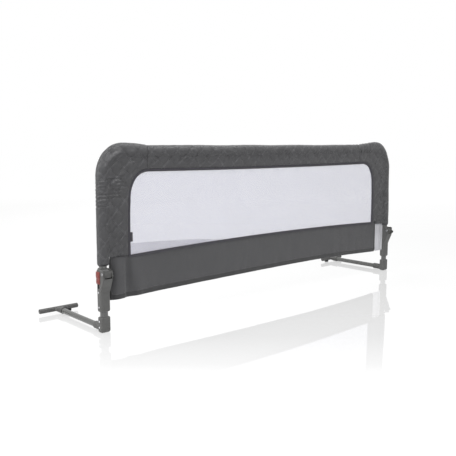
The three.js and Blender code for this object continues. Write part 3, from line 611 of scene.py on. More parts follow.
def new_object(name, points, faces):
    mesh = bpy.data.meshes.new(name)
    mesh.from_pydata(np.asarray(points, float).tolist(), [], faces)
    shape = bmesh.new()
    shape.from_mesh(mesh)
    bmesh.ops.recalc_face_normals(shape, faces=shape.faces)
    shape.to_mesh(mesh)
    shape.free()
    made = bpy.data.objects.new(name, mesh)
    bpy.context.scene.collection.objects.link(made)
    return made


def finished(made, finish, body, stands_for, sharp=40):
    """Smooths the shading, gives a piece its finish and its body, and hides the parts it stands for."""
    made.data.shade_smooth()
    made.data.set_sharp_from_angle(angle=math.radians(sharp))
    made.data.materials.clear()
    made.data.materials.append(finish)
    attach(made, body)
    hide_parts(*stands_for)
    return made


def write_values(made, name, values):
    """Keeps a value or a place for each point of a mesh, for its material to read."""
    values = np.asarray(values, np.float32)
    kind, label = ("FLOAT_VECTOR", "vector") if values.ndim == 2 else ("FLOAT", "value")
    attribute = made.data.attributes.new(name, kind, "POINT")
    attribute.data.foreach_set(label, values.ravel())


print("mesh helpers ready")

# %% [markdown]
# Sizes come from the frame where it has them. What it can't tell, such as a bend's radius, is
# written here once.

# %% Sizes
def middle(node):
    low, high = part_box(node)
    return (low + high) / 2


def span(node):
    low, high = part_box(node)
    return high - low


leg_x = middle("right_leg_tube").x
rail_y = middle("top_tube").y
tube_top = middle("top_tube").z
tube_long = span("right_leg_tube").x
tube_short = span("right_leg_tube").y
sleeve_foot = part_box("left_corner_cover")[0].z
bend_radius = 0.076
window_corner = 0.064
binding_width = 0.004
meet_gap = 0.0003
soft_gap = 0.0004
binding_low, binding_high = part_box("window_binding")
window_middle = (binding_low.x + binding_high.x) / 2
window_half = (binding_high.x - binding_low.x) / 2 - binding_width
window_top = binding_high.z - binding_width
window_sill = binding_low.z + binding_width
sill_bow = 0.0095
head_sag = 0.003
arc_x = window_half - window_corner
arc_z = window_top - window_corner
bend_start = tube_top - bend_radius
edge_offset = binding_width + meet_gap
cover_edge = edge_offset + 0.0008
tape_lip = 0.0024  # how far the folded tape reaches over the cloth's edge
lip_half = 0.0017  # half the cover's thickness under the tape
print("window", round(2 * window_half, 3), "m wide")
print("it reaches from", round(window_sill, 3), "to", round(window_top, 3), "m above the floor")

# %% [markdown]
# Crumpled cloth needs noise that is the same on each run. A grid of seeded random numbers, read
# between its points with a smooth step, gives soft lumps of any size.

# %% Soft noise
def lumps(across, along, size, seed):
    """Smooth noise from -1 to 1, with lumps of about that size."""
    cells = 97
    grid = np.random.default_rng(seed).uniform(-1, 1, (cells, cells))
    u = across / size
    v = along / size
    left = np.floor(u).astype(int)
    low = np.floor(v).astype(int)
    ease_u = u - left
    ease_v = v - low
    ease_u = ease_u * ease_u * (3 - 2 * ease_u)
    ease_v = ease_v * ease_v * (3 - 2 * ease_v)

    def corner(right, up):
        return grid[(left + right) % cells, (low + up) % cells]

    below = corner(0, 0) * (1 - ease_u) + corner(1, 0) * ease_u
    above = corner(0, 1) * (1 - ease_u) + corner(1, 1) * ease_u
    return below * (1 - ease_v) + above * ease_v


print("noise at one place:", round(float(lumps(0.1, 0.2, 0.03, 1)), 4))

# %% [markdown]
# The rest of the modelling speaks in four small words: a soft step, a stretch between two soft
# steps, an even row of waves, and a smooth line through a few chosen points.

# %% Soft steps, waves and smooth lines
def fade(value, start, end):
    """0 before start, 1 after end, and a smooth step between."""
    share = np.clip((value - start) / (end - start), 0, 1)
    return share * share * (3 - 2 * share)


def within(value, start, full, less, end):
    """1 from full to less, 0 before start and after end."""
    return fade(value, start, full) * (1 - fade(value, less, end))


def waves(place, length):
    return np.sin(place * 2 * math.pi / length)


def through(points, places):
    """Smooth values at places, through (place, value) points."""
    at, value = np.array(points).T
    slope = np.gradient(value, at)
    index = np.clip(np.searchsorted(at, places, side="right") - 1, 0, len(at) - 2)
    width = at[index + 1] - at[index]
    t = (places - at[index]) / width
    start, end = value[index], value[index + 1]
    return (
        (2 * t**3 - 3 * t**2 + 1) * start
        + (t**3 - 2 * t**2 + t) * width * slope[index]
        + (3 * t**2 - 2 * t**3) * end
        + (t**3 - t**2) * width * slope[index + 1]
    )


print("halfway up a soft step:", fade(0.5, 0, 1))

# %% [markdown]
# The window's corners are not quite quarter circles: its upright sides are drawn inwards below
# them. The covers, the binding and the net are all moved by the same rule, so they stay together.

# %% The window's upright sides
side_lean = [
    (0.25, 0.0), (0.31, 0.0009), (0.353, 0.0029), (0.381, 0.0044),
    (0.405, 0.0034), (0.420, 0.0010), (0.432, 0.0),
]  # (height, how far inwards)


def leaned(points):
    """Points of the covers, the binding or the net, moved where they lie near an upright side."""
    across = points[..., 0] - window_middle
    near = within(np.abs(across) - window_half, -0.05, -0.005, 0.008, 0.045)
    inwards = through(side_lean, np.clip(points[..., 2], side_lean[0][0], side_lean[-1][0]))
    moved = np.array(points, float)
    moved[..., 0] -= np.sign(across) * near * inwards
    return moved


most = max(inwards for height, inwards in side_lean)
print("the sides lean inwards by", round(most * 1000, 1), "mm at most")

# %% [markdown]
# ## The covers
# A cover is a padded sleeve over the tube with a flat quilted band towards the window. Each
# outline across it starts at the outside, goes round the tube and along the band, and comes
# back on the other face. The pillows between the sewn lines are then pushed out along the
# surface's own direction. A cloth simulation was left out here, because the cover is held
# tight by its tube and its seams, and its shape is known exactly.

# %% Across a cover
cover_half_depth = 0.012
valley_half = 0.0068  # half the thickness where the sleeve ends and the band starts
valley_length = 0.012  # from there to the band's even thickness
band_half = 0.0062
edge_half = 0.0026  # beside the tape
edge_roll = 0.017  # how far from the tape the band starts to roll under
sleeve_end = 0.018
sleeve_share = 0.84  # of the reach, where there is no band
band_shares = [0, 0.52, 0.87, 1]  # of the band's points: its start, its roll, the tape and its end
outer_points = 15
sleeve_points = 11
band_points = 46
outer_row = outer_points - 1
half_count = outer_points + sleeve_points + band_points


def band_rows(last, reach, share):
    """The flat band towards the window, thin where the tape holds it."""
    under_tape = reach - tape_lip
    way = np.interp(share, band_shares, [last, under_tape - edge_roll, under_tape, reach])
    near = np.clip(1 - (under_tape - way) / edge_roll, 0, 1)
    thick = edge_half + (band_half - edge_half) * np.sqrt(1 - near**2)
    thick = thick + (valley_half - band_half) * (1 - fade(way, last, last + valley_length))
    thick = thick + (lip_half - edge_half) * fade(way, under_tape - 0.0003, under_tape)
    return np.stack([way, thick], -1)


def closed_rows(last, reach, share):
    """A sleeve without a band is simply round towards the window too."""
    turn = share * math.pi / 2 * 0.97
    return np.stack([last + (reach - last) * np.sin(turn), valley_half * np.cos(turn)], -1)


def half_section(outer, depth, reach, banded):
    """Rows of (distance from the tube towards the window, half thickness), outside first."""
    turn = np.linspace(0.06, math.pi / 2, outer_points)
    outside = np.stack([-outer * np.cos(turn), depth * np.sin(turn)], -1)
    last = sleeve_end if banded else reach * sleeve_share
    round_reach = last / math.sqrt(1 - (valley_half / depth) ** 2)
    way = np.linspace(0, last, sleeve_points + 1)[1:]
    sleeve = np.stack([way, depth * np.sqrt(1 - (way / round_reach) ** 2)], -1)
    rest = band_rows if banded else closed_rows
    share = np.linspace(0, 1, band_points + 1)[1:]
    return np.concatenate([outside, sleeve, rest(last, reach, share)])


print("outline across a cover has", 2 * half_count, "points")

# %% [markdown]
# Inside the sleeve runs a bore for the flat-sided tube, a little wider than the tube itself. Its
# distance from the tube's middle depends on the direction: the flat faces are near, the round
# ends are far.

# %% The bore and the outlines
drawn_in_width = 0.008  # how much narrower the sleeve would be if it were squeezed to nothing


def bore_radius(angle):
    """From the tube's axis to the sleeve's inner face, in a direction across the flat-sided tube."""
    half_round = tube_short / 2 + soft_gap
    straight = (tube_long - tube_short) / 2
    along = np.abs(np.cos(angle))
    up = np.abs(np.sin(angle))
    flat_side = half_round / np.maximum(up, 1e-6)
    root = np.sqrt(np.maximum(straight**2 * along**2 - straight**2 + half_round**2, 0))
    return np.where(flat_side * along <= straight, flat_side, straight * along + root)


def laid_out(section, start, across):
    """A section of (away, depth) rows, laid along a direction in the rail's plane."""
    flat = start + section[:, :1] * across
    return np.stack([flat[:, 0], section[:, 1], flat[:, 1]], -1)


def cover_rows(tube, edge, outer, banded, squeeze):
    """For each outline: its points, its bore's points, their places on the flat cloth, and how far
    they lie from the tube towards the window."""
    shape = (len(tube), 2 * half_count)
    rings, bore = np.zeros((2, *shape, 3))
    cloth = np.zeros((*shape, 2))
    from_tube = np.zeros(shape)
    for row, (tube_at, edge_at) in enumerate(zip(tube, edge)):
        reach = np.hypot(*(edge_at - tube_at))
        across = (edge_at - tube_at) / reach
        wide, deep = outer[row]
        sleeve_thin, band_thin = squeeze[row]
        section = half_section(wide - (1 - sleeve_thin) * drawn_in_width, deep, reach, banded[row])
        onto_band = fade(section[:, 0], sleeve_end * 0.6, sleeve_end)
        section[:, 1] *= sleeve_thin + (band_thin - sleeve_thin) * onto_band
        way = np.concatenate([[0], np.cumsum(np.hypot(*np.diff(section, axis=0).T))])
        way -= way[outer_row]
        both = np.concatenate([section * (1, -1), section[::-1]])
        angle = np.arctan2(both[:, 1], both[:, 0])
        hole = bore_radius(angle)[:, None] * np.stack([np.cos(angle), np.sin(angle)], -1)
        rings[row] = laid_out(both, tube_at, across)
        bore[row] = laid_out(hole, tube_at, across)
        cloth[row] = tube_at + np.concatenate([way, way[::-1]])[:, None] * across
        from_tube[row] = both[:, 0]
    return rings, bore, cloth, from_tube


print("bore reaches", round(float(bore_radius(0.0)) * 1000, 2), "mm along the tube's long side")

# %% [markdown]
# What makes the cloth look quilted is its relief: pillows between the sewn lines, soft lumps, and
# the short slanting strokes that loose cloth bunches into. It lies calmer over the tube, where it
# is stretched, and beside the tape, where it is held.

# %% The relief
pillow_height = 0.0025
pillow_base = 0.35  # the share of a pillow's height that lies below the plain skin


def quilt_rise(place):
    """From 0 on the sewn lines to 1 at the top of a pillow, for places on the flat cloth."""
    rising = (place[..., 0] + place[..., 1]) / math.sqrt(2) / line_pitch
    falling = (place[..., 0] - place[..., 1]) / math.sqrt(2) / line_pitch
    return np.abs(np.sin(math.pi * rising) * np.sin(math.pi * falling)) ** 0.55


def strokes(across, up, seed):
    """Narrow ridges that rise to the right, and fewer that fall."""
    total = 0
    for slope, share, offset in ((1, 1.0, 0), (-1, 0.5, 7)):
        beside = (across - slope * up) / math.sqrt(2)
        along = (across + slope * up) / math.sqrt(2)
        ridge = 1 - np.abs(lumps(beside, along * 0.4, 0.010, seed + offset)) * 2.2
        present = fade(lumps(across, up, 0.03, seed + offset + 1), -0.1, 0.5)
        total = total + share * np.clip(ridge, 0, 1) ** 2 * present
    return total


def relief(cloth, from_tube, from_tape, back, seed):
    """How far the cloth stands out from its plain skin; back is 1 on the face towards the bed."""
    x, z = cloth[..., 0], cloth[..., 1]
    rise = pillow_height * (quilt_rise(cloth) - pillow_base)
    rise = rise + 0.0009 * lumps(x, z, 0.021, seed + 1)
    rise = rise + 0.00035 * lumps(x + back * 0.5, z, 0.008, seed + 2)
    rise = rise + 0.0019 * strokes(x + back * 0.3, z, seed + 3)
    over_tube = 0.12 + 0.88 * fade(from_tube, -0.006, 0.006)
    near_tape = 0.4 + 0.6 * fade(from_tape, 0.014, 0.028)
    return rise * over_tube * near_tape


print("pillows", pillow_height * 1000, "mm high")

# %% [markdown]
# The cover's skin runs over all outlines on the outside, then back through the bore, so that the
# sleeve is hollow as a real one is. The relief pushes it out along the surface's own direction.

# %% A cover's skin
calm_edge = 0.007  # beside the tape the relief grows from nothing over this width
bore_step = 6  # the bore is plain, so it needs only one outline in six


def outward(rings):
    """The direction away from a cover's inside, at each point."""
    along = np.gradient(rings, axis=0)
    round_it = np.roll(rings, -1, 1) - np.roll(rings, 1, 1)
    normal = np.cross(along, round_it)
    normal /= np.maximum(np.linalg.norm(normal, axis=-1, keepdims=True), 1e-12)
    front_point = half_count - 6
    return -normal if normal[len(rings) // 2, front_point, 1] > 0 else normal


def cover_piece(name, node, tube, edge, outer, banded, squeeze, wrinkles):
    """tube and edge are rows of (x, z); squeeze thins (sleeve, band) at ends; wrinkles adds folds."""
    rows = len(tube)
    rings, bore, cloth, from_tube = cover_rows(tube, edge, outer, banded, squeeze)
    back = (np.arange(2 * half_count) >= half_count)[None, :]
    from_tape = np.hypot(*(edge - tube).T)[:, None] - tape_lip - from_tube
    seed = len(name)  # so that no two covers crumple alike
    rise = relief(cloth, from_tube, from_tape, back, seed) + wrinkles(cloth, from_tube)
    calm = fade(from_tape, 0.0, calm_edge) * fade(squeeze.min(1), 0.9, 0.999)[:, None]
    rings = rings + outward(rings) * (rise * calm)[..., None]
    inside = np.unique(np.concatenate([np.arange(0, rows, bore_step), [rows - 1]]))[::-1]
    points, faces = skin(np.concatenate([rings, bore[inside]]), looped=True)
    made = new_object(name, leaned(points) + (0, rail_y, 0), faces)
    flat = np.concatenate([cloth, cloth[inside]]).reshape(-1, 2)
    side = np.broadcast_to(back, (rows + len(inside), 2 * half_count)).reshape(-1, 1)
    write_values(made, "cloth_m", np.concatenate([flat, side * 1.0], 1))
    finished(made, quilted_cloth, "rail", [node], 60)
    return made


print("cover skin ready")

# %% [markdown]
# A corner cover climbs its post, turns with the tube's bend and meets the top cover at a seam.
# Its two paths, one on the tube and one on the window's edge, turn side by side about their own
# centres. First come the outlines below the window, where the cover may be a sleeve alone.

# %% Outlines up the post
post_pad = 0.0045
top_pad = 0.003
outer_size = tube_long / 2 + post_pad
hem_height = 0.2035
station_step = 0.0021
foot_round = 0.007  # the sleeve's lower end is drawn in over this height
foot_slimming = 0.15
band_reach = 0.03  # an outline that reaches further than this has a band
hem_round = 0.0015
start_steps = np.array([0, 0.0004, 0.0011])  # above a lower end, so that it rounds off
start_thins = (0.72, 0.88, 0.97)


def rows_between(length):
    return max(int(round(length / station_step)), 2)


def hem_rows(hems):
    """Outlines as (tube, edge, outer size, has a band, thinning); hems are (low, high, reach)."""
    foot = hems[0][0]
    for low, high, reach in hems:
        banded = reach > band_reach
        above = np.linspace(low + 0.002, high - meet_gap, rows_between(high - low))
        for height in np.concatenate([low + start_steps, above]):
            slim = 1 - foot_slimming * max(1 - (height - foot) / foot_round, 0) ** 2
            thin = 1 - 0.25 * max(1 - (height - low) / hem_round, 0) ** 2
            reach_at = reach if banded else reach * slim
            thins = (slim, thin if banded else slim)
            yield (0, height), (-reach_at, height), outer_size * slim, banded, thins


def post_rows(edge_x, slimmer):
    """Outlines beside the window, up to where the tube's bend starts."""
    rise = bend_start - hem_height
    starts = zip(start_steps / rise, start_thins)
    evenly = [(share, 1.0) for share in np.linspace(0, 1, rows_between(rise))[1:]]
    for share, thin in [*starts, *evenly]:
        edge_height = hem_height + share * (arc_z - hem_height)
        size = outer_size - slimmer * fade(share, 0.15, 0.8)
        yield (0, hem_height + share * rise), (edge_x, edge_height), size, True, (1.0, thin)


print("post outlines about every", station_step * 1000, "mm")

# %% [markdown]
# Round the bend the corner stands a little prouder than the straight parts, as loose cloth does
# there. At the seam with the top cover it is drawn in, and so is the top cover's own end.

# %% Outlines round the corner
seam_steps = np.array([0, 0.0004, 0.0012])  # from a seam
seam_thins = [0.86, 0.93, 0.97]


def round_corner(share, centre, radius, seam):
    """A quarter round and then a straight run to a seam, for shares of the way from 0 to 1."""
    past = max(centre[0] - seam, 0)
    sweep = math.pi / 2 if past > 0 else math.acos((seam - centre[0]) / radius)
    way = share * (sweep * radius + past)
    angle = np.minimum(way / radius, sweep)
    x = centre[0] + radius * np.cos(angle) - np.maximum(way - sweep * radius, 0)
    return np.stack([x, centre[1] + radius * np.sin(angle)], -1)


def bend_rows(band, seam, puff, slimmer):
    """puff is (share of the way, how proud the corner stands there)."""
    length = bend_radius * math.pi / 2 + seam - bend_radius
    shares = np.linspace(0, 1, rows_between(length) + 1)[1:]
    shares = np.concatenate([shares[:-1], 1 - seam_steps[::-1] / length])
    tube = round_corner(shares, (-bend_radius, bend_start), bend_radius, -seam)
    edge = round_corner(shares, (-band - window_corner, arc_z), window_corner + cover_edge, -seam)
    size = outer_size + through(puff, shares) - slimmer * (1 - fade(shares, 0.1, 0.5))
    thins = [1.0] * (len(shares) - 3) + seam_thins[::-1]
    for tube_at, edge_at, size_at, thin in zip(tube, edge, size, thins):
        yield tube_at, edge_at, size_at, True, (thin, thin)


def corner_cover(side, sign, band, seam, hems, puff, slimmer, wrinkles):
    """slimmer is how much the post's pad narrows on its way up."""
    below = hem_rows(hems)
    beside = post_rows(cover_edge - band, slimmer)
    round_it = bend_rows(band, seam, puff, slimmer)
    tube, edge, size, banded, squeeze = zip(*below, *beside, *round_it)
    depth = [cover_half_depth - 0.7 * max(outer_size - at, 0) for at in size]
    mirror, post = (sign, 1), (sign * leg_x, 0)
    return cover_piece(
        f"{side}_quilted_corner",
        f"{side}_corner_cover",
        np.array(tube) * mirror + post,
        np.array(edge) * mirror + post,
        np.stack([size, depth], -1),
        banded,
        np.array(squeeze),
        wrinkles,
    )


print("corner outlines ready")

# %% [markdown]
# Each corner has creases of its own. The left post is pushed together into level folds below a
# loose corner with a ridge and a dent. The right corner is drawn in round its bend in upright
# gathers.

# %% Creases of the corners
ridge_height = 0.0030
dent_depth = 0.0032
dent_turn = 0.98  # how far round the bend the dent lies


def left_wrinkles(cloth, from_tube):
    x, z = cloth[..., 0] + leg_x, cloth[..., 1]
    where = within(z, 0.325, 0.345, 0.41, 0.43) * (1 - fade(x, 0.04, 0.08))
    folds = waves(z + 0.0025 * lumps(x, z, 0.025, 31), 0.0098)
    gaps = fade(lumps(x * 0.5, z * 2, 0.014, 32), -0.4, 0.5)
    turned = np.arctan2(z - bend_start, bend_radius - x)
    corner = within(turned, 0.25, 0.55, 1.15, 1.45)
    ridge = ridge_height * corner * np.exp(-(((from_tube - 0.001) / 0.0055) ** 2))
    off_dent = ((turned - dent_turn) / 0.10) ** 2 + ((from_tube + 0.010) / 0.009) ** 2
    return 0.0013 * where * folds * gaps + ridge - dent_depth * np.exp(-off_dent)


def right_wrinkles(cloth, from_tube):
    x, z = leg_x - cloth[..., 0], cloth[..., 1]
    where = within(x, 0.09, 0.12, 0.19, 0.22) * fade(z, 0.41, 0.43)
    upright = waves(x + 0.005 * lumps(x, z, 0.03, 41), 0.0165)
    upright = upright * fade(lumps(x * 0.5, z, 0.02, 43), -0.5, 0.5)
    below = within(z, 0.30, 0.34, 0.42, 0.45) * fade(x, 0.03, 0.05)
    level = waves(z + 0.005 * lumps(x, z, 0.02, 42), 0.017)
    level = level * fade(lumps(x, z * 0.5, 0.02, 44), -0.3, 0.6)
    return 0.0008 * where * upright + 0.0007 * below * level


print("creases ready")

# %% [markdown]
# The left cover is a bare sleeve below the window. The right one has a short band there as well,
# which the pale strip hangs from, and its pad is a little slimmer.

# %% Corner covers
top_cover_low, top_cover_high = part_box("top_cover")
left_band = window_middle - window_half + leg_x
right_band = leg_x - window_middle - window_half
left_seam = top_cover_low.x - meet_gap + leg_x
right_seam = leg_x - top_cover_high.x - meet_gap
right_hem_low = 0.1915
left_hems = [(sleeve_foot, hem_height, sleeve_end)]
right_hems = [(sleeve_foot, right_hem_low, sleeve_end), (right_hem_low, hem_height, 0.0705)]
left_puff = [
    (0, 0), (0.15, 0.0026), (0.3, 0.0057), (0.45, 0.0079),
    (0.58, 0.0085), (0.72, 0.0072), (0.88, 0.0036), (1, 0),
]
right_puff = [
    (0, 0), (0.2, -0.001), (0.3, 0.002), (0.41, 0.0067), (0.517, 0.0110),
    (0.62, 0.0130), (0.72, 0.0098), (0.83, 0.005), (0.92, 0.0023), (1, 0),
]
left_cover = corner_cover(
    "left", -1, left_band, left_seam, left_hems, left_puff, 0.0, left_wrinkles
)
right_cover = corner_cover(
    "right", 1, right_band, right_seam, right_hems, right_puff, 0.0032, right_wrinkles
)
for made in (left_cover, right_cover):
    print(made.name, "with", len(made.data.vertices), "points")

# %% [markdown]
# The top cover is the same section along a straight line. The window's upper edge sags by a few
# millimetres between the corners, so the band is a little wider in the middle. It is made by the
# same function as the corners, so their outlines meet at both seams.

# %% Top cover
def head_height(across, offset=0.0):
    """The window's upper edge, at a distance across from its middle."""
    beyond = np.maximum(np.abs(across) - arc_x, 0)
    arc = arc_z + np.sqrt(np.maximum((window_corner + offset) ** 2 - beyond**2, 0))
    straight = window_top + offset - head_sag * (1 - (across / arc_x) ** 2)
    return np.where(beyond > 0, arc, straight)


def sill_height(across):
    """The window's lower edge, which bows up in the middle."""
    return window_sill + sill_bow * (1 - (across / window_half) ** 2)


def top_wrinkles(cloth, from_tube):
    x, z = cloth[..., 0], cloth[..., 1]
    near_end = fade(x, top_cover_high.x - 0.06, top_cover_high.x - 0.01)
    return 0.0006 * near_end * waves(x + 0.004 * lumps(x, z, 0.02, 51), 0.017)


def top_cover():
    left, right = top_cover_low.x, top_cover_high.x
    count = rows_between(right - left)
    inner = np.linspace(left + 0.0025, right - 0.0025, count)
    places = np.concatenate([left + seam_steps, inner, right - seam_steps[::-1]])
    thins = np.concatenate([seam_thins, np.ones(count), seam_thins[::-1]])
    outer = tube_long / 2 + top_pad - 0.0008 * lumps(places, places * 0, 0.11, 5)
    return cover_piece(
        "quilted_top",
        "top_cover",
        np.stack([places, np.full(len(places), tube_top)], -1),
        np.stack([places, head_height(places - window_middle, cover_edge)], -1),
        np.stack([outer, np.full(len(places), cover_half_depth)], -1),
        [True] * len(places),
        np.stack([thins, thins], -1),
        top_wrinkles,
    )


top_piece = top_cover()
print("top cover with", len(top_piece.data.vertices), "points")

# %% [markdown]
# ## The window
# A folded tape binds the window's edge all the way round. It follows one closed outline that the
# sill, the two upright sides, the arcs and the head make together, so that outline comes first. A
# curve with a profile could sweep the tape too. Here its points come from the same sizes as the
# covers and the net, so that nothing gapes between them.

# %% The window's outline
def window_outline(offset, step=0.003):
    """Places round the window, anticlockwise from its lower left corner."""
    half = window_half + offset
    count = int(2 * half / step)
    across = np.linspace(-half, half, count + 1)
    sill = np.stack([across, sill_height(across * window_half / half) - offset], -1)
    side = np.linspace(sill[-1, 1], arc_z, int((arc_z - sill[-1, 1]) / step))[1:-1]
    radius = window_corner + offset
    turn = np.linspace(0, math.pi / 2, int(radius * math.pi / 2 / step))
    arc = np.stack([arc_x + radius * np.cos(turn), arc_z + radius * np.sin(turn)], -1)
    over = np.linspace(arc_x, -arc_x, int(2 * arc_x / step))[1:-1]
    head = np.stack([over, head_height(over, offset)], -1)
    right = np.stack([np.full(len(side), half), side], -1)
    left = (right * (-1, 1))[::-1]
    far_arc = (arc * (-1, 1))[::-1]
    return np.concatenate([sill, right, arc, head, far_arc, left]) + (window_middle, 0)


print("window outline of", len(window_outline(0.0)), "points")

# %% [markdown]
# The tape is folded over the cloth's edge, so its section has a round rim towards the window, two
# faces that come closer together, and a slot between them that the cover's thin edge lies in.

# %% Window binding
binding_half_depth = 0.003
rim_width = 0.0024
slot_room = 0.0002  # between the tape and the cloth in its slot


def tape_section():
    """Half of the tape's outline as (outward, depth): its rim, its face and the slot."""
    width = cover_edge + tape_lip - slot_room
    slot = cover_edge - slot_room
    slot_half = lip_half + slot_room
    turn = np.linspace(0, math.pi / 2, 8)
    rim = [rim_width * (1 - np.cos(turn) ** 0.6), binding_half_depth * np.sin(turn) ** 0.6]
    out = np.linspace(rim_width + 0.0008, width - 0.0005, 6)
    face = [out, binding_half_depth - 6 * (out - rim_width) ** 2]
    lip = [(width, face[1][-1] - 0.0004), (width, slot_half), (slot, slot_half)]
    return np.concatenate([np.stack(rim, -1), np.stack(face, -1), lip])


def window_binding():
    inner = window_outline(0.0)
    count = len(inner)
    following = np.roll(inner, -1, 0) - np.roll(inner, 1, 0)
    away = np.stack([following[:, 1], -following[:, 0]], -1)
    away /= np.linalg.norm(away, axis=1, keepdims=True)
    along = np.concatenate([[0], np.cumsum(np.hypot(*np.diff(inner, axis=0).T))])
    half = tape_section()
    section = np.concatenate([half, (half[1:] * (1, -1))[::-1]])
    ripple = 1 + 0.04 * lumps(along, along * 0, 0.012, 61)
    rings = np.zeros((count, len(section), 3))
    rings[..., 0] = inner[:, :1] + away[:, :1] * section[None, :, 0]
    rings[..., 2] = inner[:, 1:] + away[:, 1:] * section[None, :, 0]
    rings[..., 1] = rail_y + section[None, :, 1] * ripple[:, None]
    points, faces = skin(leaned(rings), looped=True)
    made = new_object("bound_edge", points, faces)
    ways = np.repeat(along, len(section))
    around = np.concatenate([[0], np.cumsum(np.hypot(*np.diff(section, axis=0).T))])
    write_values(made, "cloth_m", np.stack([ways, np.tile(around, count), ways * 0], -1))
    write_values(made, "along_seam", ways)
    # beside_seam is below zero on the tape's rim towards the window, which its finish paints darker as
    # a painted shade.
    write_values(made, "beside_seam", np.tile(section[:, 0] - cover_edge, count))
    return finished(made, binding_tape, "rail", ["window_binding"], 70)


bound_edge = window_binding()
print("binding with", len(bound_edge.data.vertices), "points")

# %% [markdown]
# The net is one layer of cloth, stretched inside the binding and held under it. It has a very
# slight billow, because no net is pulled perfectly flat. A cloth simulation under an even pull
# ends in almost the same plane, so two broad lumps of noise draw it directly.

# %% Net
net_tuck = 0.002  # how far the net reaches under the binding
net_slant = 0.35  # turns the rows of holes a little, as they follow the billow


def net_layer(name, grid, finish):
    """A single layer through a grid of points, by column and row."""
    columns, rows = grid.shape[:2]
    points = grid.reshape(-1, 3)
    index = np.arange(columns * rows).reshape(columns, rows)
    corners = [index[:-1, :-1], index[1:, :-1], index[1:, 1:], index[:-1, 1:]]
    made = new_object(name, points, np.stack(corners, -1).reshape(-1, 4).tolist())
    slant = net_slant * points[:, 1]
    cloth = [points[:, 0] + slant, points[:, 2] + slant, points[:, 0] * 0]
    write_values(made, "cloth_m", np.stack(cloth, -1))
    return finished(made, finish, "rail", ["window_net"])


def net_window():
    """(piece, its area, its flat width and height)"""
    half = window_half + net_tuck
    across = np.linspace(-half, half, 241)
    low = sill_height(across * window_half / half) - net_tuck
    tall = head_height(across, net_tuck) - low
    up = np.linspace(0, 1, 49)
    z = low[:, None] + tall[:, None] * up[None, :]
    x = np.repeat(across[:, None], len(up), 1) + window_middle
    from_ends = np.minimum(up, 1 - up)[None, :]
    edge = np.minimum(from_ends, (half - np.abs(across))[:, None] * 4)
    billow = 0.0012 * lumps(x, z, 0.16, 71) + 0.0005 * lumps(x, z, 0.05, 72)
    y = rail_y + billow * fade(edge, 0.0, 0.25)
    made = net_layer("net_cloth", leaned(np.stack([x, y, z], -1)), mesh_cloth)
    area = float((tall[1:] + tall[:-1]).sum() / 2 * (across[1] - across[0]))
    return made, area, (2 * half, float(tall.max()))


net_cloth, net_area, net_flat = net_window()
print("net of", round(net_area, 4), "square metres")

# %% [markdown]
# In the window's lower left corner the net has cloth to spare. It is turned back there and lies
# double, in a long wedge above the sill. A second layer just behind the first shows that as it
# is: where two nets lie over each other, their holes cross and the corner looks denser.

# %% The net's doubled corner
net_fold_edge = [
    (-0.5550, 0.2330), (-0.505, 0.2313), (-0.436, 0.2285), (-0.307, 0.2202), (-0.215, 0.2100)
]  # (place along the rail, height of the wedge's upper edge)
layer_gap = 0.0009  # between the two layers


def net_fold():
    places = np.linspace(net_fold_edge[0][0], net_fold_edge[-1][0], 90)
    across = np.clip(places - window_middle, -window_half, window_half)
    low = sill_height(across) - net_tuck
    high = np.maximum(through(net_fold_edge, places), low + 0.0002)
    up = np.linspace(0, 1, 7)
    z = low[:, None] + (high - low)[:, None] * up[None, :]
    x = np.repeat(places[:, None], len(up), 1)
    y = rail_y + layer_gap + 0.0002 * lumps(x, z, 0.03, 73)
    return net_layer("net_fold", np.stack([x, y, z], -1), lightened_turned_net)


fold_piece = net_fold()
print("doubled corner", round(net_fold_edge[-1][0] - net_fold_edge[0][0], 2), "m long")

# %% [markdown]
# A small dark tab is sewn into the lower left of the window, folded over on itself. A bevelled
# box would do. Drawn row by row, it can also thin out towards both ends, as a fold does where its
# seam presses it flat.

# %% Edge tab
tab_shift = Vector((0.001, 0, 0))  # the tab reaches this much further into the window


def rounded(wave):
    """A circle's sine or cosine, pushed outwards towards a square."""
    return np.sign(wave) * np.abs(wave) ** 0.5


def folded_tab():
    low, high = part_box("edge_tab")
    half = (high - low) / 2 + tab_shift
    centre = (low + high) / 2 + tab_shift
    rows = np.linspace(-1, 1, 25)
    turn = np.linspace(0, 2 * math.pi, 24, endpoint=False) + math.pi / 24
    across, depth = rounded(np.cos(turn)), rounded(np.sin(turn))
    rings = np.zeros((len(rows), len(turn), 3))
    for row, up in enumerate(rows):
        thin = (1 - abs(up) ** 14) ** 0.5 * 0.8 + 0.2
        rings[row, :, 0] = centre.x + across * half.x
        rings[row, :, 1] = centre.y + depth * half.y * thin
        rings[row, :, 2] = centre.z + up * half.z + 0.0004 * math.sin(up * 4) * across
    points, faces = skin(rings)
    made = new_object("folded_tab", points, faces)
    write_values(made, "cloth_m", points[:, [0, 2, 1]])
    write_values(made, "along_seam", points[:, 2])
    # beside_seam is below zero on the tab's left quarter, which its finish paints darker as a painted
    # shade.
    write_values(made, "beside_seam", points[:, 0] - centre.x + half.x * 0.5)
    return finished(made, binding_tape, "rail", ["edge_tab"], 70)


tab_piece = folded_tab()
print("tab", round(span("edge_tab").z * 1000), "mm long")

# %% [markdown]
# ## The skirt
# Below the window a plain cloth hangs beside the mattress. It is sewn under the binding and the
# covers, falls in loose folds near the left post, and has a turned hem with a sewn line along its
# lower edge. The folds are drawn and not simulated, because the cloth hangs from a seam along its
# whole length and the folds' places are known.

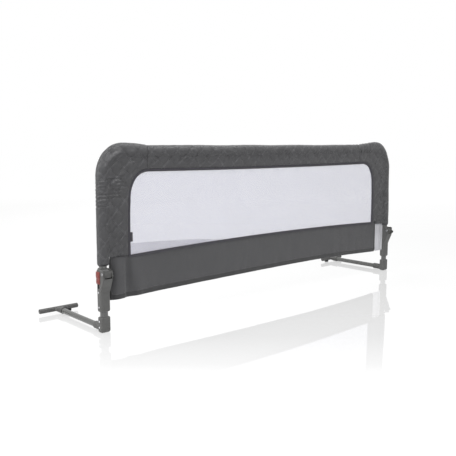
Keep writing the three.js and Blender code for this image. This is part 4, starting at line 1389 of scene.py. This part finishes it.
# %% Skirt sizes
skirt_low, skirt_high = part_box("skirt")
skirt_left = skirt_low.x
skirt_right = skirt_high.x + 0.0072
skirt_bow = 0.0095
corner_rise = 0.005
corner_width = 0.006
skirt_folds = [
    (-0.020, 0.009), (-0.006, 0.009), (0.001, 0.0070), (0.014, -0.0055), (0.032, -0.0085),
    (0.041, -0.0060), (0.051, 0.0050), (0.059, 0.0055), (0.070, -0.0035), (0.082, -0.0072),
    (0.102, -0.0040), (0.140, 0.0004), (0.260, 0.0008), (0.420, -0.0012), (0.700, 0.0012),
    (0.950, -0.0014), (1.210, 0.0),
]  # (from the left end, how far back the cloth hangs there)
fold_drift = 0.010  # the second fold leans this much to the right on its way down
hem_sways = [
    (-0.62, -0.0010), (-0.50, -0.0024), (-0.40, -0.0032), (-0.20, -0.0028),
    (0.0, -0.0016), (0.20, 0.0006), (0.40, 0.0004), (0.567, -0.0012),
]  # (place, how much higher the lower edge hangs than its even bow)
hem_depth = 0.015
# width of the painted shade at each end of the skirt
end_shade_width = 0.009
cloth_half = 0.0007
print("skirt", round(skirt_right - skirt_left, 3), "m long")

# %% [markdown]
# The skirt and the strip are each one closed skin: a front face and a back face with the cloth's
# thickness between them, joined at every edge. A Solidify modifier does this for an even cloth,
# but here the thickness changes at the hems.

# %% Cloth with two faces
def two_faced(name, x, y, z, thick, inside, seam_way):
    """thick is half the cloth's thickness; inside is how far a point lies from its seam, and the finish
    paints shade where it is below zero; seam_way is 0 where stitches follow the rail, 2 up its height."""
    front = np.stack([x, y - thick, z], -1)
    back = np.stack([x, y + thick, z], -1)
    rings = np.concatenate([front, back[:, ::-1]], 1) + (0, rail_y, 0)
    points, faces = skin(rings)
    made = new_object(name, points, faces)
    write_values(made, "cloth_m", np.stack([points[:, 0], points[:, 2], points[:, 1] * 0], -1))
    write_values(made, "along_seam", points[:, seam_way])
    beside = np.concatenate([inside, inside[:, ::-1]], 1)
    write_values(made, "beside_seam", beside.reshape(-1))
    return made


print("two faced cloth ready")

# %% [markdown]
# The skirt's rows lie closer together at its hem, where its thickness changes: the doubled cloth
# swells, and the stitches press it flat.

# %% Skirt
thick_shares = [(0, 0.5), (0.06, 1.5), (0.3, 2.0), (0.9, 1.9), (1.0, 1.2), (1.1, 1.7), (1.4, 1.0)]
hem_rows_up = np.array([1.25, 1.1, 1.0, 0.9, 0.75, 0.5, 0.3, 0.15, 0.06, 0.0])


def skirt_edges(places):
    """(top, bottom) of the skirt, along the rail."""
    half = (skirt_right - skirt_left) / 2
    centre = (skirt_left + skirt_right) / 2
    turned_end = np.clip((places - skirt_right) / corner_width + 1, 0, 1)
    bottom = skirt_low.z + skirt_bow * (1 - ((places - centre) / half) ** 2)
    bottom = bottom + np.interp(places, *np.array(hem_sways).T)
    bottom = bottom + corner_rise * (1 - np.sqrt(1 - turned_end**2))
    across = places - window_middle
    under_sill = sill_height(np.clip(across, -window_half, window_half)) - cover_edge
    beside = np.abs(across) > window_half + edge_offset
    return np.where(beside, hem_height + 0.002, under_sill), bottom


def skirt_depth(x, z, down, hem_share):
    """How far back the cloth hangs; down is 0 along the top edge and 1 along the lower one."""
    from_left = x[:, :1] - skirt_left
    leans = within(from_left, 0.060, 0.075, 0.2, 0.4)
    fold = through(skirt_folds, from_left - fold_drift * leans * (down - 0.3))
    y = fold * np.sin(down * math.pi * 0.88) ** 0.7
    y = y + 0.0014 * down * lumps(x, z * 0.25, 0.05, 81)
    y = y + 0.0005 * np.sqrt(down) * lumps(x, z * 0.4, 0.016, 82)
    from_hem = (1 - down) / hem_share
    curl = 0.0008 * np.clip(1 - from_hem, 0, 1) ** 2
    pull = 0.00035 * np.exp(-(((from_hem - 1.2) / 0.6) ** 2))
    return y + curl + pull * lumps(x, z * 0, 0.006, 83)


def hanging_skirt():
    """(piece, its height)"""
    places = np.linspace(skirt_left, skirt_right, int((skirt_right - skirt_left) / 0.004))
    top, bottom = skirt_edges(places)
    hem_share = hem_depth / (top - bottom).mean()
    down = np.concatenate([np.linspace(0, 1 - 1.5 * hem_share, 26), 1 - hem_share * hem_rows_up])
    down = down[None, :]
    at, share = np.array(thick_shares).T
    thick = cloth_half * np.interp(1 - down, hem_share * at, share)
    x = np.repeat(places[:, None], down.size, 1)
    z = top[:, None] + (bottom - top)[:, None] * down
    # inside is below zero on the hem band and on narrow bands at both ends, which the finish paints
    # darker: painted shade for the shade under the hem and in the gaps at the ends.
    inside = np.minimum(z - bottom[:, None] - hem_depth, skirt_right - x - end_shade_width)
    inside = np.minimum(inside, x - skirt_left - end_shade_width * 0.5)
    y = skirt_depth(x, z, down, hem_share)
    made = two_faced("hanging_skirt", x, y, z, thick, inside, 0)
    finished(made, plain_cloth, "rail", ["skirt"], 70)
    return made, float((top - bottom).max())


skirt_piece, skirt_height = hanging_skirt()
print("skirt", round(skirt_height, 3), "m high")

# %% [markdown]
# Between the skirt and the right post hangs a pale satin strip. It is light enough to wave a
# little, its long edges are folded over and sewn, and it is drawn in near its top. Its few waves
# are drawn from numbers, like the skirt's folds.

# %% Satin strip
strip_low, strip_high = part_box("end_strip")
strip_left = strip_low.x + 0.0045
strip_width = strip_high.x + 0.0038 - strip_left
strip_top = strip_high.z + 0.002
strip_corner = 0.003
strip_draw = 0.0028  # how far its right edge is drawn in near the top
strip_hem_share = 0.44  # of its width, from its middle to its hems


def hanging_strip():
    across = np.linspace(0, 1, 41)[:, None]
    down = np.linspace(0, 1, 37)[None, :]
    past_hem = np.abs(across - 0.5) - strip_hem_share
    inset = strip_corner * (1 - np.sqrt(1 - np.clip(past_hem / 0.06, 0, 1) ** 2))
    z = strip_top - (strip_top - strip_low.z - inset) * down
    x = strip_left + across * strip_width - strip_draw * fade(z, 0.176, 0.181) * across
    wave = 0.0012 * np.sin(across * 3 * math.pi) * down
    wave = wave + 0.0004 * down * lumps(x, z * 0.5, 0.012, 91)
    thick = 0.00028 + 0.00018 * np.clip(past_hem / 0.015, 0, 1)
    # inside is below zero across the middle, which the finish paints a little darker than the folded
    # edges.
    inside = past_hem * strip_width * np.ones(down.shape)
    made = two_faced("satin_end", x, wave, z, thick, inside, 2)
    return finished(made, satin_strip, "rail", ["end_strip"], 70)


strip_piece = hanging_strip()
print("strip", round(strip_width * 1000), "mm wide")

# %% [markdown]
# ## Hard parts
# Moulded plastic has no knife edges: each corner is slightly round, and a round part has no
# flats. A voxel remesh turns the exact solid, together with a few finely rounded copies of its
# round parts, into one even skin, and a little smoothing then rounds every edge. The Bevel
# modifier is the usual way, but on a faceted round part it keeps the flats.

# %% Moulded parts
def turned_part(profile, axis, centre, sides=64):
    """A closed round part about X, Y or Z; the profile is (along, radius) pairs."""
    angle = np.linspace(0, 2 * math.pi, sides, endpoint=False) + math.pi / sides
    rings = np.zeros((len(profile), sides, 3))
    place = "xyz".index(axis)
    others = [n for n in range(3) if n != place]
    for row, (along, radius) in enumerate(profile):
        rings[row, :, place] = along
        rings[row, :, others[0]] = radius * np.cos(angle)
        rings[row, :, others[1]] = radius * np.sin(angle)
    return rings + np.array(centre)


def baked(made):
    """Puts the result of the modifiers in the mesh."""
    graph = bpy.context.evaluated_depsgraph_get()
    mesh = bpy.data.meshes.new_from_object(made.evaluated_get(graph))
    made.modifiers.clear()
    made.data = mesh
    return made


def moulded(name, node, finish, voxel, rounding, keep, extras=(), shape=None):
    """rounding is how often the skin is smoothed, and keep the share of its faces that stay."""
    source = nodes[node].data
    points = np.array([vertex.co for vertex in source.vertices])
    faces = [list(polygon.vertices) for polygon in source.polygons]
    made = new_object(name, *merged((points, faces), *extras))
    remesh = made.modifiers.new("even skin", "REMESH")
    remesh.mode = "VOXEL"
    remesh.voxel_size = voxel
    smooth = made.modifiers.new("round edges", "SMOOTH")
    smooth.factor = 0.5
    smooth.iterations = rounding
    thin = made.modifiers.new("fewer faces", "DECIMATE")
    thin.ratio = keep
    baked(made)
    if shape is not None:
        places = np.array([vertex.co for vertex in made.data.vertices])
        made.data.vertices.foreach_set("co", shape(places).ravel())
    finished(made, finish, nodes[node]["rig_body"], [node], 50)
    print(made.name, len(made.data.polygons), "faces")


print("moulding ready")

# %% [markdown]
# The hinge's mouldings are sculpted a little after that, as with a grab brush: points are pulled
# by an amount that fades in over a few millimetres. All places are measured from the tube's
# middle plane towards the room, from the hinge's pin, or up from the floor. The exact solids are
# fuller in front than the real hinge, and they stay as they are.

# %% Shaping the hinge's bulge
hinge_centre = middle("left_hinge_pin")
hinge_front = rail_y - hinge_centre.y
pin_clear = 0.0243  # how far forward the pin's heads reach
bulge_pull = 0.0052


def measured(points):
    """(how far towards the room, height) of each point."""
    return rail_y - points[:, 1], points[:, 2]


def flattened(points):
    """The bulge in front of a hinge is flatter than the exact solid, most of all near its top."""
    front, z = measured(points)
    taper = np.clip((front - 0.0145) / 0.016, 0, 1)
    face = np.clip((front - pin_clear) / 0.0062, 0, 1)
    share = taper + (face - taper) * fade(z, 0.146, 0.152)
    pull = bulge_pull + 0.0012 * fade(z, 0.160, 0.175)
    points[:, 1] += share * fade(z, 0.112, 0.145) * pull


print("hinge pin", round(hinge_front * 1000, 1), "mm in front of the tube's middle")

# %% [markdown]
# The casing's two cheeks end lower at the front than the exact solid does, more so on the
# window's side. Below the pin the casing has a lip, which is kept as far from the pin as the
# turning half of the hinge needs.

# %% The hinge's casing
barrel_room = 0.0142  # no part of the casing's lip comes nearer to the pin than this
cheek_start = 0.0113  # from the middle of the post to the inner face of a cheek
cheek_front = 0.0245
cheek_top = 0.167


def shaped_casing(points):
    flattened(points)
    inward = leg_x - np.abs(points[:, 0])
    front, z = measured(points)
    window_side = fade(inward, cheek_start, cheek_start + 0.0008)
    proud = front - cheek_front + 0.0045 * fade(z, 0.1665, 0.170)
    points[:, 1] += window_side * np.maximum(proud, 0) * fade(z, 0.162, 0.166)
    lowered = 0.002 + 0.005 * window_side * fade(front, 0.010, 0.016)
    top_share = np.clip((z - cheek_top) / 0.0105, 0, 1)
    points[:, 2] -= lowered * fade(front, 0.006, 0.010) * top_share
    ahead, above = front - hinge_front, z - hinge_centre.z
    out = np.hypot(ahead, above)
    lip = (np.abs(inward) < cheek_start) & (ahead > 0) & (above < 0) & (out < barrel_room)
    grow = np.where(lip, barrel_room / np.maximum(out, 1e-6), 1.0)
    points[:, 1] = rail_y - hinge_front - ahead * grow
    points[:, 2] = hinge_centre.z + above * grow
    return points


for side in ("left", "right"):
    moulded(
        f"{side}_moulded_casing", f"{side}_hinge_casing", grey_plastic, 0.0006, 10, 0.3,
        shape=shaped_casing,
    )

# %% [markdown]
# Between the cheeks turns the knuckle. Its top slopes down towards the room, and the underside of
# its barrel is cut back a little, so that it clears the casing's lip as it turns.

# %% The hinge's knuckle
knuckle_drop = 0.0076  # how much lower the front of its top is than the exact solid's


def shaped_knuckle(points):
    flattened(points)
    front, z = measured(points)
    below = fade(front, hinge_front, pin_clear) * (z < hinge_centre.z)
    points[:, 2] += 0.0014 * below * fade(hinge_centre.z - z, 0.004, 0.009)
    top_share = np.clip((z - 0.1665) / 0.011, 0, 1)
    points[:, 2] -= knuckle_drop * fade(front, 0.0095, 0.014) * top_share
    return points


for side in ("left", "right"):
    moulded(
        f"{side}_moulded_knuckle", f"{side}_hinge_knuckle", shaded_knuckle_plastic, 0.0006, 22, 0.35,
        shape=shaped_knuckle,
    )

# %% [markdown]
# The bracket that stands on the floor and the crossbar at the far end have round sockets for
# the arm. Their round parts are added finely before the remesh, so that no flats show.

# %% Brackets
arm_height = middle("left_foot_arm").z
arm_radius = span("left_foot_arm").x / 2
push_fit = 0.00035
socket_radius = 0.0106
socket_start = rail_y + 0.0125
socket_chamfer = 0.0016


def sleeve_ring(centre_x, end):
    """A hollow round sleeve along Y, round the arm, with a rounded end."""
    inner = arm_radius + push_fit
    profile = [
        (socket_start, socket_radius),
        (end - socket_chamfer, socket_radius),
        (end - socket_chamfer * 0.3, socket_radius - socket_chamfer * 0.3),
        (end, socket_radius - socket_chamfer),
        (end, inner),
        (socket_start, inner),
    ]
    return skin(turned_part(profile, "y", (centre_x, 0, arm_height)), looped=True)


for side, sign in (("left", -1), ("right", 1)):
    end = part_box(f"{side}_elbow_bracket")[1].y
    sleeve = sleeve_ring(sign * leg_x, end)
    moulded(
        f"{side}_floor_bracket", f"{side}_elbow_bracket", grey_plastic, 0.0006, 18, 0.35, [sleeve]
    )

# %% [markdown]
# The crossbar is a round bar with rounded ends, moulded in one with its socket, and a block of
# rubber under it keeps the foot from sliding.

# %% Crossbars
bar_radius = 0.0071
bar_from_back = 0.00625  # from the back of the moulding to the bar's middle
bar_z = 0.0125
end_share = 0.35  # of the bar's radius, that its flat end has


def bar_profile(half):
    """(along, radius) pairs over both rounded ends of the bar."""
    end = []
    for share in np.linspace(0.1, 1, 8):
        bulge = math.sqrt(1 - (1 - share) ** 2)
        radius = bar_radius * (end_share + (1 - end_share) * bulge)
        end.append((-half + bar_radius * (1 - bulge), radius))
    return end + [(-along, radius) for along, radius in reversed(end)]


for side, sign in (("left", -1), ("right", 1)):
    low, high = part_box(f"{side}_crossbar")
    bar_middle = (sign * leg_x, high.y - bar_from_back, bar_z)
    bar = skin(turned_part(bar_profile((high.x - low.x) / 2), "x", bar_middle, 48))
    moulded(f"{side}_t_bar", f"{side}_crossbar", grey_plastic, 0.0006, 7, 0.35, [bar])
    moulded(f"{side}_sole_pad", f"{side}_crossbar_pad", rubber, 0.0004, 4, 0.5)

# %% [markdown]
# The red release is what a thumb pushes down. A high ridge and a low one stand on it with a
# groove between. The rounded cap is drawn finely, over the plain stem that reaches inside.

# %% Releases
ridge_shares = [
    (0, 0.3), (0.07, 0.66), (0.22, 0.76), (0.34, 0.56), (0.42, 0.46),
    (0.5, 0.74), (0.68, 1), (0.86, 0.86), (0.95, 0.6), (1, 0.3),
]  # (share of its height, share of how proud it stands)
button_width = 0.019
button_proud = 0.004
button_low = 0.134


def release_cap(face, high, sign):
    up = np.linspace(0, 1, 70)
    across = np.linspace(-1, 1, 33)
    out = np.concatenate([[-0.15], (1 - np.abs(across) ** 2.5) ** 0.5])
    wide = np.concatenate([[-0.96], across])
    rings = np.zeros((len(up), len(wide), 3))
    rings[..., 0] = face + sign * button_proud * out[None, :] * through(ridge_shares, up)[:, None]
    rings[..., 1] = rail_y + wide[None, :] * button_width / 2
    rings[..., 2] = button_low + up[:, None] * (high - button_low)
    return skin(rings)


for side, sign in (("left", -1), ("right", 1)):
    low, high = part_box(f"{side}_release_button")
    face = (high.x if sign > 0 else low.x) - sign * button_proud
    cap = release_cap(face, high.z, sign)
    moulded(f"{side}_red_release", f"{side}_release_button", red_plastic, 0.0004, 4, 0.4, [cap])

# %% [markdown]
# Tubes keep a clean drawn surface, so they are skins over smooth outlines and not remeshed. The
# frame's tube has two flat sides; the arm is round.

# %% Frame tubes
tube_wall = 0.0012


def flat_sided(half_long, half_short, sides=48):
    """Outline of two half rounds with straight sides, as (long, short) pairs."""
    turn = np.linspace(-math.pi / 2, math.pi / 2, sides // 2)
    straight = half_long - half_short
    right = np.stack([straight + half_short * np.cos(turn), half_short * np.sin(turn)], -1)
    return np.concatenate([right, (right * (-1, 1))[::-1]])


def tube_skin(stations):
    """A hollow tube over rows of (x, z, angle of its outward side)."""
    rows = []
    for wall, order in ((0, 1), (tube_wall, -1)):
        outline = flat_sided(tube_long / 2 - wall, tube_short / 2 - wall)
        for x, z, angle in stations[::order]:
            ring = np.zeros((len(outline), 3))
            ring[:, 0] = x + outline[:, 0] * math.cos(angle)
            ring[:, 1] = outline[:, 1] + rail_y
            ring[:, 2] = z + outline[:, 0] * math.sin(angle)
            rows.append(ring)
    return skin(np.array(rows), looped=True)


def bent_stations(sign, foot, far):
    """Up the post, round the bend and along the top to its end."""
    centre_x = sign * (leg_x - bend_radius)
    stations = [(sign * leg_x, foot, 0)]
    for turn in np.linspace(0, math.pi / 2, 40):
        x = centre_x + sign * bend_radius * math.cos(turn)
        stations.append((x, bend_start + bend_radius * math.sin(turn), sign * turn))
    stations.append((far, tube_top, sign * math.pi / 2))
    return stations if sign > 0 else [(x, z, math.pi + angle) for x, z, angle in stations]


for side, sign in (("left", -1), ("right", 1)):
    low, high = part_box(f"{side}_leg_tube")
    made = new_object(
        f"{side}_leg", *tube_skin([(sign * leg_x, z, 0) for z in np.linspace(low.z, high.z, 4)])
    )
    finished(made, painted_tube, f"{side}_foot", [f"{side}_leg_tube"], 50)
    low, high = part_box(f"{side}_corner_tube")
    stations = bent_stations(sign, low.z, high.x if sign < 0 else low.x)
    made = new_object(f"{side}_bent_tube", *tube_skin(stations))
    finished(made, painted_tube, "rail", [f"{side}_corner_tube"], 50)
print("legs and bent tubes drawn for both sides")

# %% [markdown]
# The arm is a plain round tube, so it is turned about its own axis, with its edges just broken.
# The arm's two ends would show a knife edge without that.

# %% Arms
arm_bevel = 0.0003


def arm_profile(near, far):
    inner = arm_radius - tube_wall
    along = [(near + (far - near) * share, arm_radius) for share in np.linspace(0.1, 0.9, 9)]
    return [
        (near, arm_radius - arm_bevel),
        (near + arm_bevel, arm_radius),
        *along,
        (far - arm_bevel, arm_radius),
        (far, arm_radius - arm_bevel),
        (far, inner),
        (near, inner),
    ]


for side, sign in (("left", -1), ("right", 1)):
    low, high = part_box(f"{side}_foot_arm")
    rings = turned_part(arm_profile(low.y, high.y), "y", (sign * leg_x, 0, arm_height))
    made = new_object(f"{side}_arm", *skin(rings, looped=True))
    finished(made, bright_arm, f"{side}_foot", [f"{side}_foot_arm"], 50)
print("arms", round((high.y - low.y) * 1000), "mm long")

# %% [markdown]
# Rivets and hinge pins are turned or pressed parts. Each is a round profile about its own axis,
# with a domed head. Blender's Spin tool makes the same shape by hand.

# %% Rivets and pins
head_height_out = 0.0013
rivet_shank_share = 0.56  # of its head's radius
pin_shank_share = 0.71


def dome_profile(face, radius):
    """A domed head on a face: (along, radius) pairs from the rim to the top."""
    turn = np.linspace(0, math.pi / 2 * 0.93, 7)
    return [(face + head_height_out * math.sin(t), radius * math.cos(t)) for t in turn]


def rivet(name, node, sign):
    low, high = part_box(node)
    centre = (low + high) / 2
    head_radius = (high.z - low.z) / 2
    tip, far = (high.x, low.x) if sign > 0 else (low.x, high.x)
    face = abs(tip) - head_height_out
    shank = head_radius * rivet_shank_share
    profile = [(abs(far), shank), (face, shank), *dome_profile(face, head_radius)]
    profile = [(sign * along, radius) for along, radius in profile]
    made = new_object(name, *skin(turned_part(profile, "x", (0, centre.y, centre.z), 32)))
    finished(made, zinc, nodes[node]["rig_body"], [node], 40)


def hinge_pin(name, node):
    low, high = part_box(node)
    face = (high.x - low.x) / 2 - head_height_out
    head_radius = (high.z - low.z) / 2
    half = [(face, head_radius * pin_shank_share), *dome_profile(face, head_radius)]
    profile = [(-along, radius) for along, radius in reversed(half)] + half
    made = new_object(name, *skin(turned_part(profile, "x", middle(node), 40)))
    finished(made, dull_pin, nodes[node]["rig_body"], [node], 40)


for side, sign in (("left", -1), ("right", 1)):
    for holder in ("elbow", "casing"):
        for number in (1, 2):
            rivet(f"{side}_{holder}_stud_{number}", f"{side}_{holder}_rivet_{number}", sign)
    hinge_pin(f"{side}_pivot", f"{side}_hinge_pin")
print("rivets and pins turned")

# %% [markdown]
# Inside each hinge a steel bolt holds the knuckle, and a coiled spring keeps the bolt up. The
# bolt's edges are cut back a little, as on any pressed bolt that has to find its hole.

# %% Bolts
bolt_bevel = 0.0009
bolt_corners = [
    (-1, -1, 1, 0), (1, -1, -1, 0), (1, -1, 0, 1), (1, 1, 0, -1),
    (1, 1, -1, 0), (-1, 1, 1, 0), (-1, 1, 0, -1), (-1, -1, 0, 1),
]  # (which corner, across and deep, and which way it is cut back)


def chamfered_bar(low, high, bevel):
    """A bar along Z with its long edges and both ends cut back."""
    half = (high - low) / 2
    centre = (high + low) / 2
    rows = []
    for z, inset in ((-half.z, bevel), (bevel - half.z, 0), (half.z - bevel, 0), (half.z, bevel)):
        ring = []
        for wide, deep, cut_x, cut_y in bolt_corners:
            x = centre.x + wide * (half.x - inset) + cut_x * bevel
            y = centre.y + deep * (half.y - inset) + cut_y * bevel
            ring.append((x, y, centre.z + z))
        rows.append(ring)
    return skin(np.array(rows))


for side in ("left", "right"):
    node = f"{side}_lock_bolt"
    made = new_object(f"{side}_steel_bolt", *chamfered_bar(*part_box(node), bolt_bevel))
    finished(made, zinc, nodes[node]["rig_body"], [node], 30)
print("bolts", round(span(node).z * 1000, 1), "mm long")

# %% [markdown]
# The spring is one wire wound about its own axis. It stands between the casing and the release.
# A Screw modifier could wind it; the rows of a skin do the same, with both ends set by the frame.

# %% Springs
wire = 0.00055
spring_turns = 5


def coil(bottom, top, centre, radius):
    """A wound spring about Z."""
    share = np.linspace(0, 1, spring_turns * 28 + 1)
    angle = share * spring_turns * 2 * math.pi
    around = np.linspace(0, 2 * math.pi, 12, endpoint=False)
    out = radius + wire * np.cos(around)
    rings = np.zeros((len(share), len(around), 3))
    rings[..., 0] = centre.x + out[None, :] * np.cos(angle)[:, None]
    rings[..., 1] = centre.y + out[None, :] * np.sin(angle)[:, None]
    rings[..., 2] = (bottom + (top - bottom) * share)[:, None] + wire * np.sin(around)[None, :]
    return skin(rings)


for side in ("left", "right"):
    node = f"{side}_button_spring"
    low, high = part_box(node)
    centre = (low + high) / 2
    radius = (high.y - low.y) / 2 - wire
    made = new_object(f"{side}_coil", *coil(low.z + wire, high.z - wire, centre, radius))
    finished(made, zinc, nodes[node]["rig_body"], [node], 60)
    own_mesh(made)
print("springs of", spring_turns, "turns drawn")

# %% [markdown]
# The straight top tube and the cross pins are hidden by the covers, and their exact solids are
# already right. They stay as they are and only get their finish.

# %% Parts that keep the frame's shape
kept = {"top_tube": painted_tube}
for side in ("left", "right"):
    for part in ("post_pin", "top_pin"):
        kept[f"{side}_{part}"] = zinc
for name, finish in kept.items():
    nodes[name].material_slots[0].material = finish
print("kept", len(kept), "parts of the frame")

# %% [markdown]
# ## Floor and light
# The floor is a pale, half-glossy board: it keeps the soft shadow, and shows a faint mirror
# image that dies away towards the viewer, where the board is matt. To the camera and in
# reflections its white is a light of its own, while the object sees a plain pale board.

# %% Floor's finish
gloss_shares = [
    (1.24, 0.0), (1.40, 0.19), (1.50, 0.24), (1.62, 0.30),
    (1.90, 0.34), (2.60, 0.42), (3.4, 0.42), (6.0, 0.0),
]  # (distance ahead of the camera, share of the mirror image)
floor_glow = 0.975


def seen_directly(tree):
    """1 to the camera, in reflections and through see-through parts, and 0 for other light."""
    path = add_node(tree, "ShaderNodeLightPath").outputs
    seen = maths(tree, "MAXIMUM", path["Is Camera Ray"], path["Is Glossy Ray"])
    return maths(tree, "MAXIMUM", seen, path["Is Transmission Ray"])


def mirror_share(tree, ahead):
    share = 0.0
    for (near, less), (far, more) in zip(gloss_shares, gloss_shares[1:]):
        sockets = {"Value": ahead, "From Min": near, "From Max": far, "To Max": more - less}
        step = add_node(tree, "ShaderNodeMapRange", sockets).outputs["Result"]
        share = maths(tree, "ADD", step, share)
    return share


def floor_finish():
    material, tree, shader = start_finish(
        "studio_floor", Roughness=0.9, Specular_IOR_Level=0.0, Emission_Color=(1, 1, 1, 1)
    )
    place = object_place(tree)
    tone = use_group(tree, uneven_tone, Place=place, Patch=0.5, Amount=0.01)["Tone"]
    seen = seen_directly(tree)
    lit = toned(tree, screen_colour(228, 228, 228), tone)
    seen_lit = toned(tree, screen_colour(101, 101, 101), tone)
    tree.links.new(mixed(tree, seen, lit, seen_lit), shader.inputs["Base Color"])
    tree.links.new(maths(tree, "MULTIPLY", seen, floor_glow), shader.inputs["Emission Strength"])
    mirror = add_node(tree, "ShaderNodeBsdfGlossy", {"Roughness": 0.03})
    ahead = add_node(tree, "ShaderNodeSeparateXYZ", {"Vector": place}).outputs["Y"]
    layers = add_node(tree, "ShaderNodeMixShader", {0: mirror_share(tree, ahead)})
    tree.links.new(shader.outputs["BSDF"], layers.inputs[1])
    tree.links.new(mirror.outputs["BSDF"], layers.inputs[2])
    tree.links.new(layers.outputs[0], tree.nodes["Material Output"].inputs["Surface"])
    return material


studio_floor = floor_finish()
print("floor finish:", studio_floor.name)

# %% [markdown]
# The board is centred under the camera and turned with it, because its gloss is measured from
# there, straight ahead. It lies a hair below the feet, so that no two faces share a plane.

# %% Floor
floor_half = 30.0
floor_drop = 0.0002

board = np.array([[[-1, -1, 0], [1, -1, 0]], [[-1, 1, 0], [1, 1, 0]]], float) * floor_half
floor = new_object("floor", board.reshape(-1, 3), [[0, 1, 3, 2]])
floor.data.materials.append(studio_floor)
floor.rotation_euler = (0, 0, -camera_turn)
floor.location = (camera_place.x, camera_place.y, -floor_drop)
print("floor", 2 * floor_half, "m wide")

# %% [markdown]
# Five soft lamps light the rail: one in front and above gives the top its sheen, one stands at
# the left end, a small one shines on that end from the front, one hangs over the rail, and a
# broad one is behind. The last is kept out of reflections, or the glossy floor would show it as a
# white patch behind the net.

# %% Lamps
def softbox(name, place, target, size, power):
    lamp = bpy.data.lights.new(name, "AREA")
    lamp.shape = "RECTANGLE"
    lamp.size, lamp.size_y = size
    lamp.energy = power
    made = bpy.data.objects.new(name, lamp)
    bpy.context.scene.collection.objects.link(made)
    made.location = place
    made.rotation_euler = (Vector(target) - Vector(place)).to_track_quat("-Z", "Y").to_euler()
    print(name, power, "W")
    return made


softbox("sheen_light", (-0.2, -1.5, 2.0), (-0.3, 0, 0.35), (1.6, 0.45), 15)
softbox("side_light", (-2.2, -0.3, 1.3), (-0.5, 0, 0.35), (0.4, 1.0), 28)
softbox("top_light", (0.5, -0.6, 2.2), (0, 0, 0.45), (2.0, 0.3), 26)
softbox("front_light", (-0.9, -2.0, 1.3), (-0.9, 0, 0.4), (0.3, 0.3), 4)
back_light = softbox("back_light", (-0.3, 1.9, 1.75), (0, 0, 0.3), (3.6, 1.2), 60)
back_light.visible_glossy = False

# %% [markdown]
# The world is white where it is looked at, and much weaker where it lights the rail, so that the
# quilting keeps its shadows.

# %% World
world_light = 0.18

world = bpy.data.worlds.new("studio")
bpy.context.scene.world = world
world.use_nodes = True
tree = world.node_tree
strength = maths(tree, "MULTIPLY_ADD", seen_directly(tree), 1.0 - world_light, world_light)
background = tree.nodes["Background"]
background.inputs["Color"].default_value = (1, 1, 1, 1)
tree.links.new(strength, background.inputs["Strength"])
bpy.context.scene.view_settings.view_transform = "Standard"
print("world white to look at, and", world_light, "as a light")
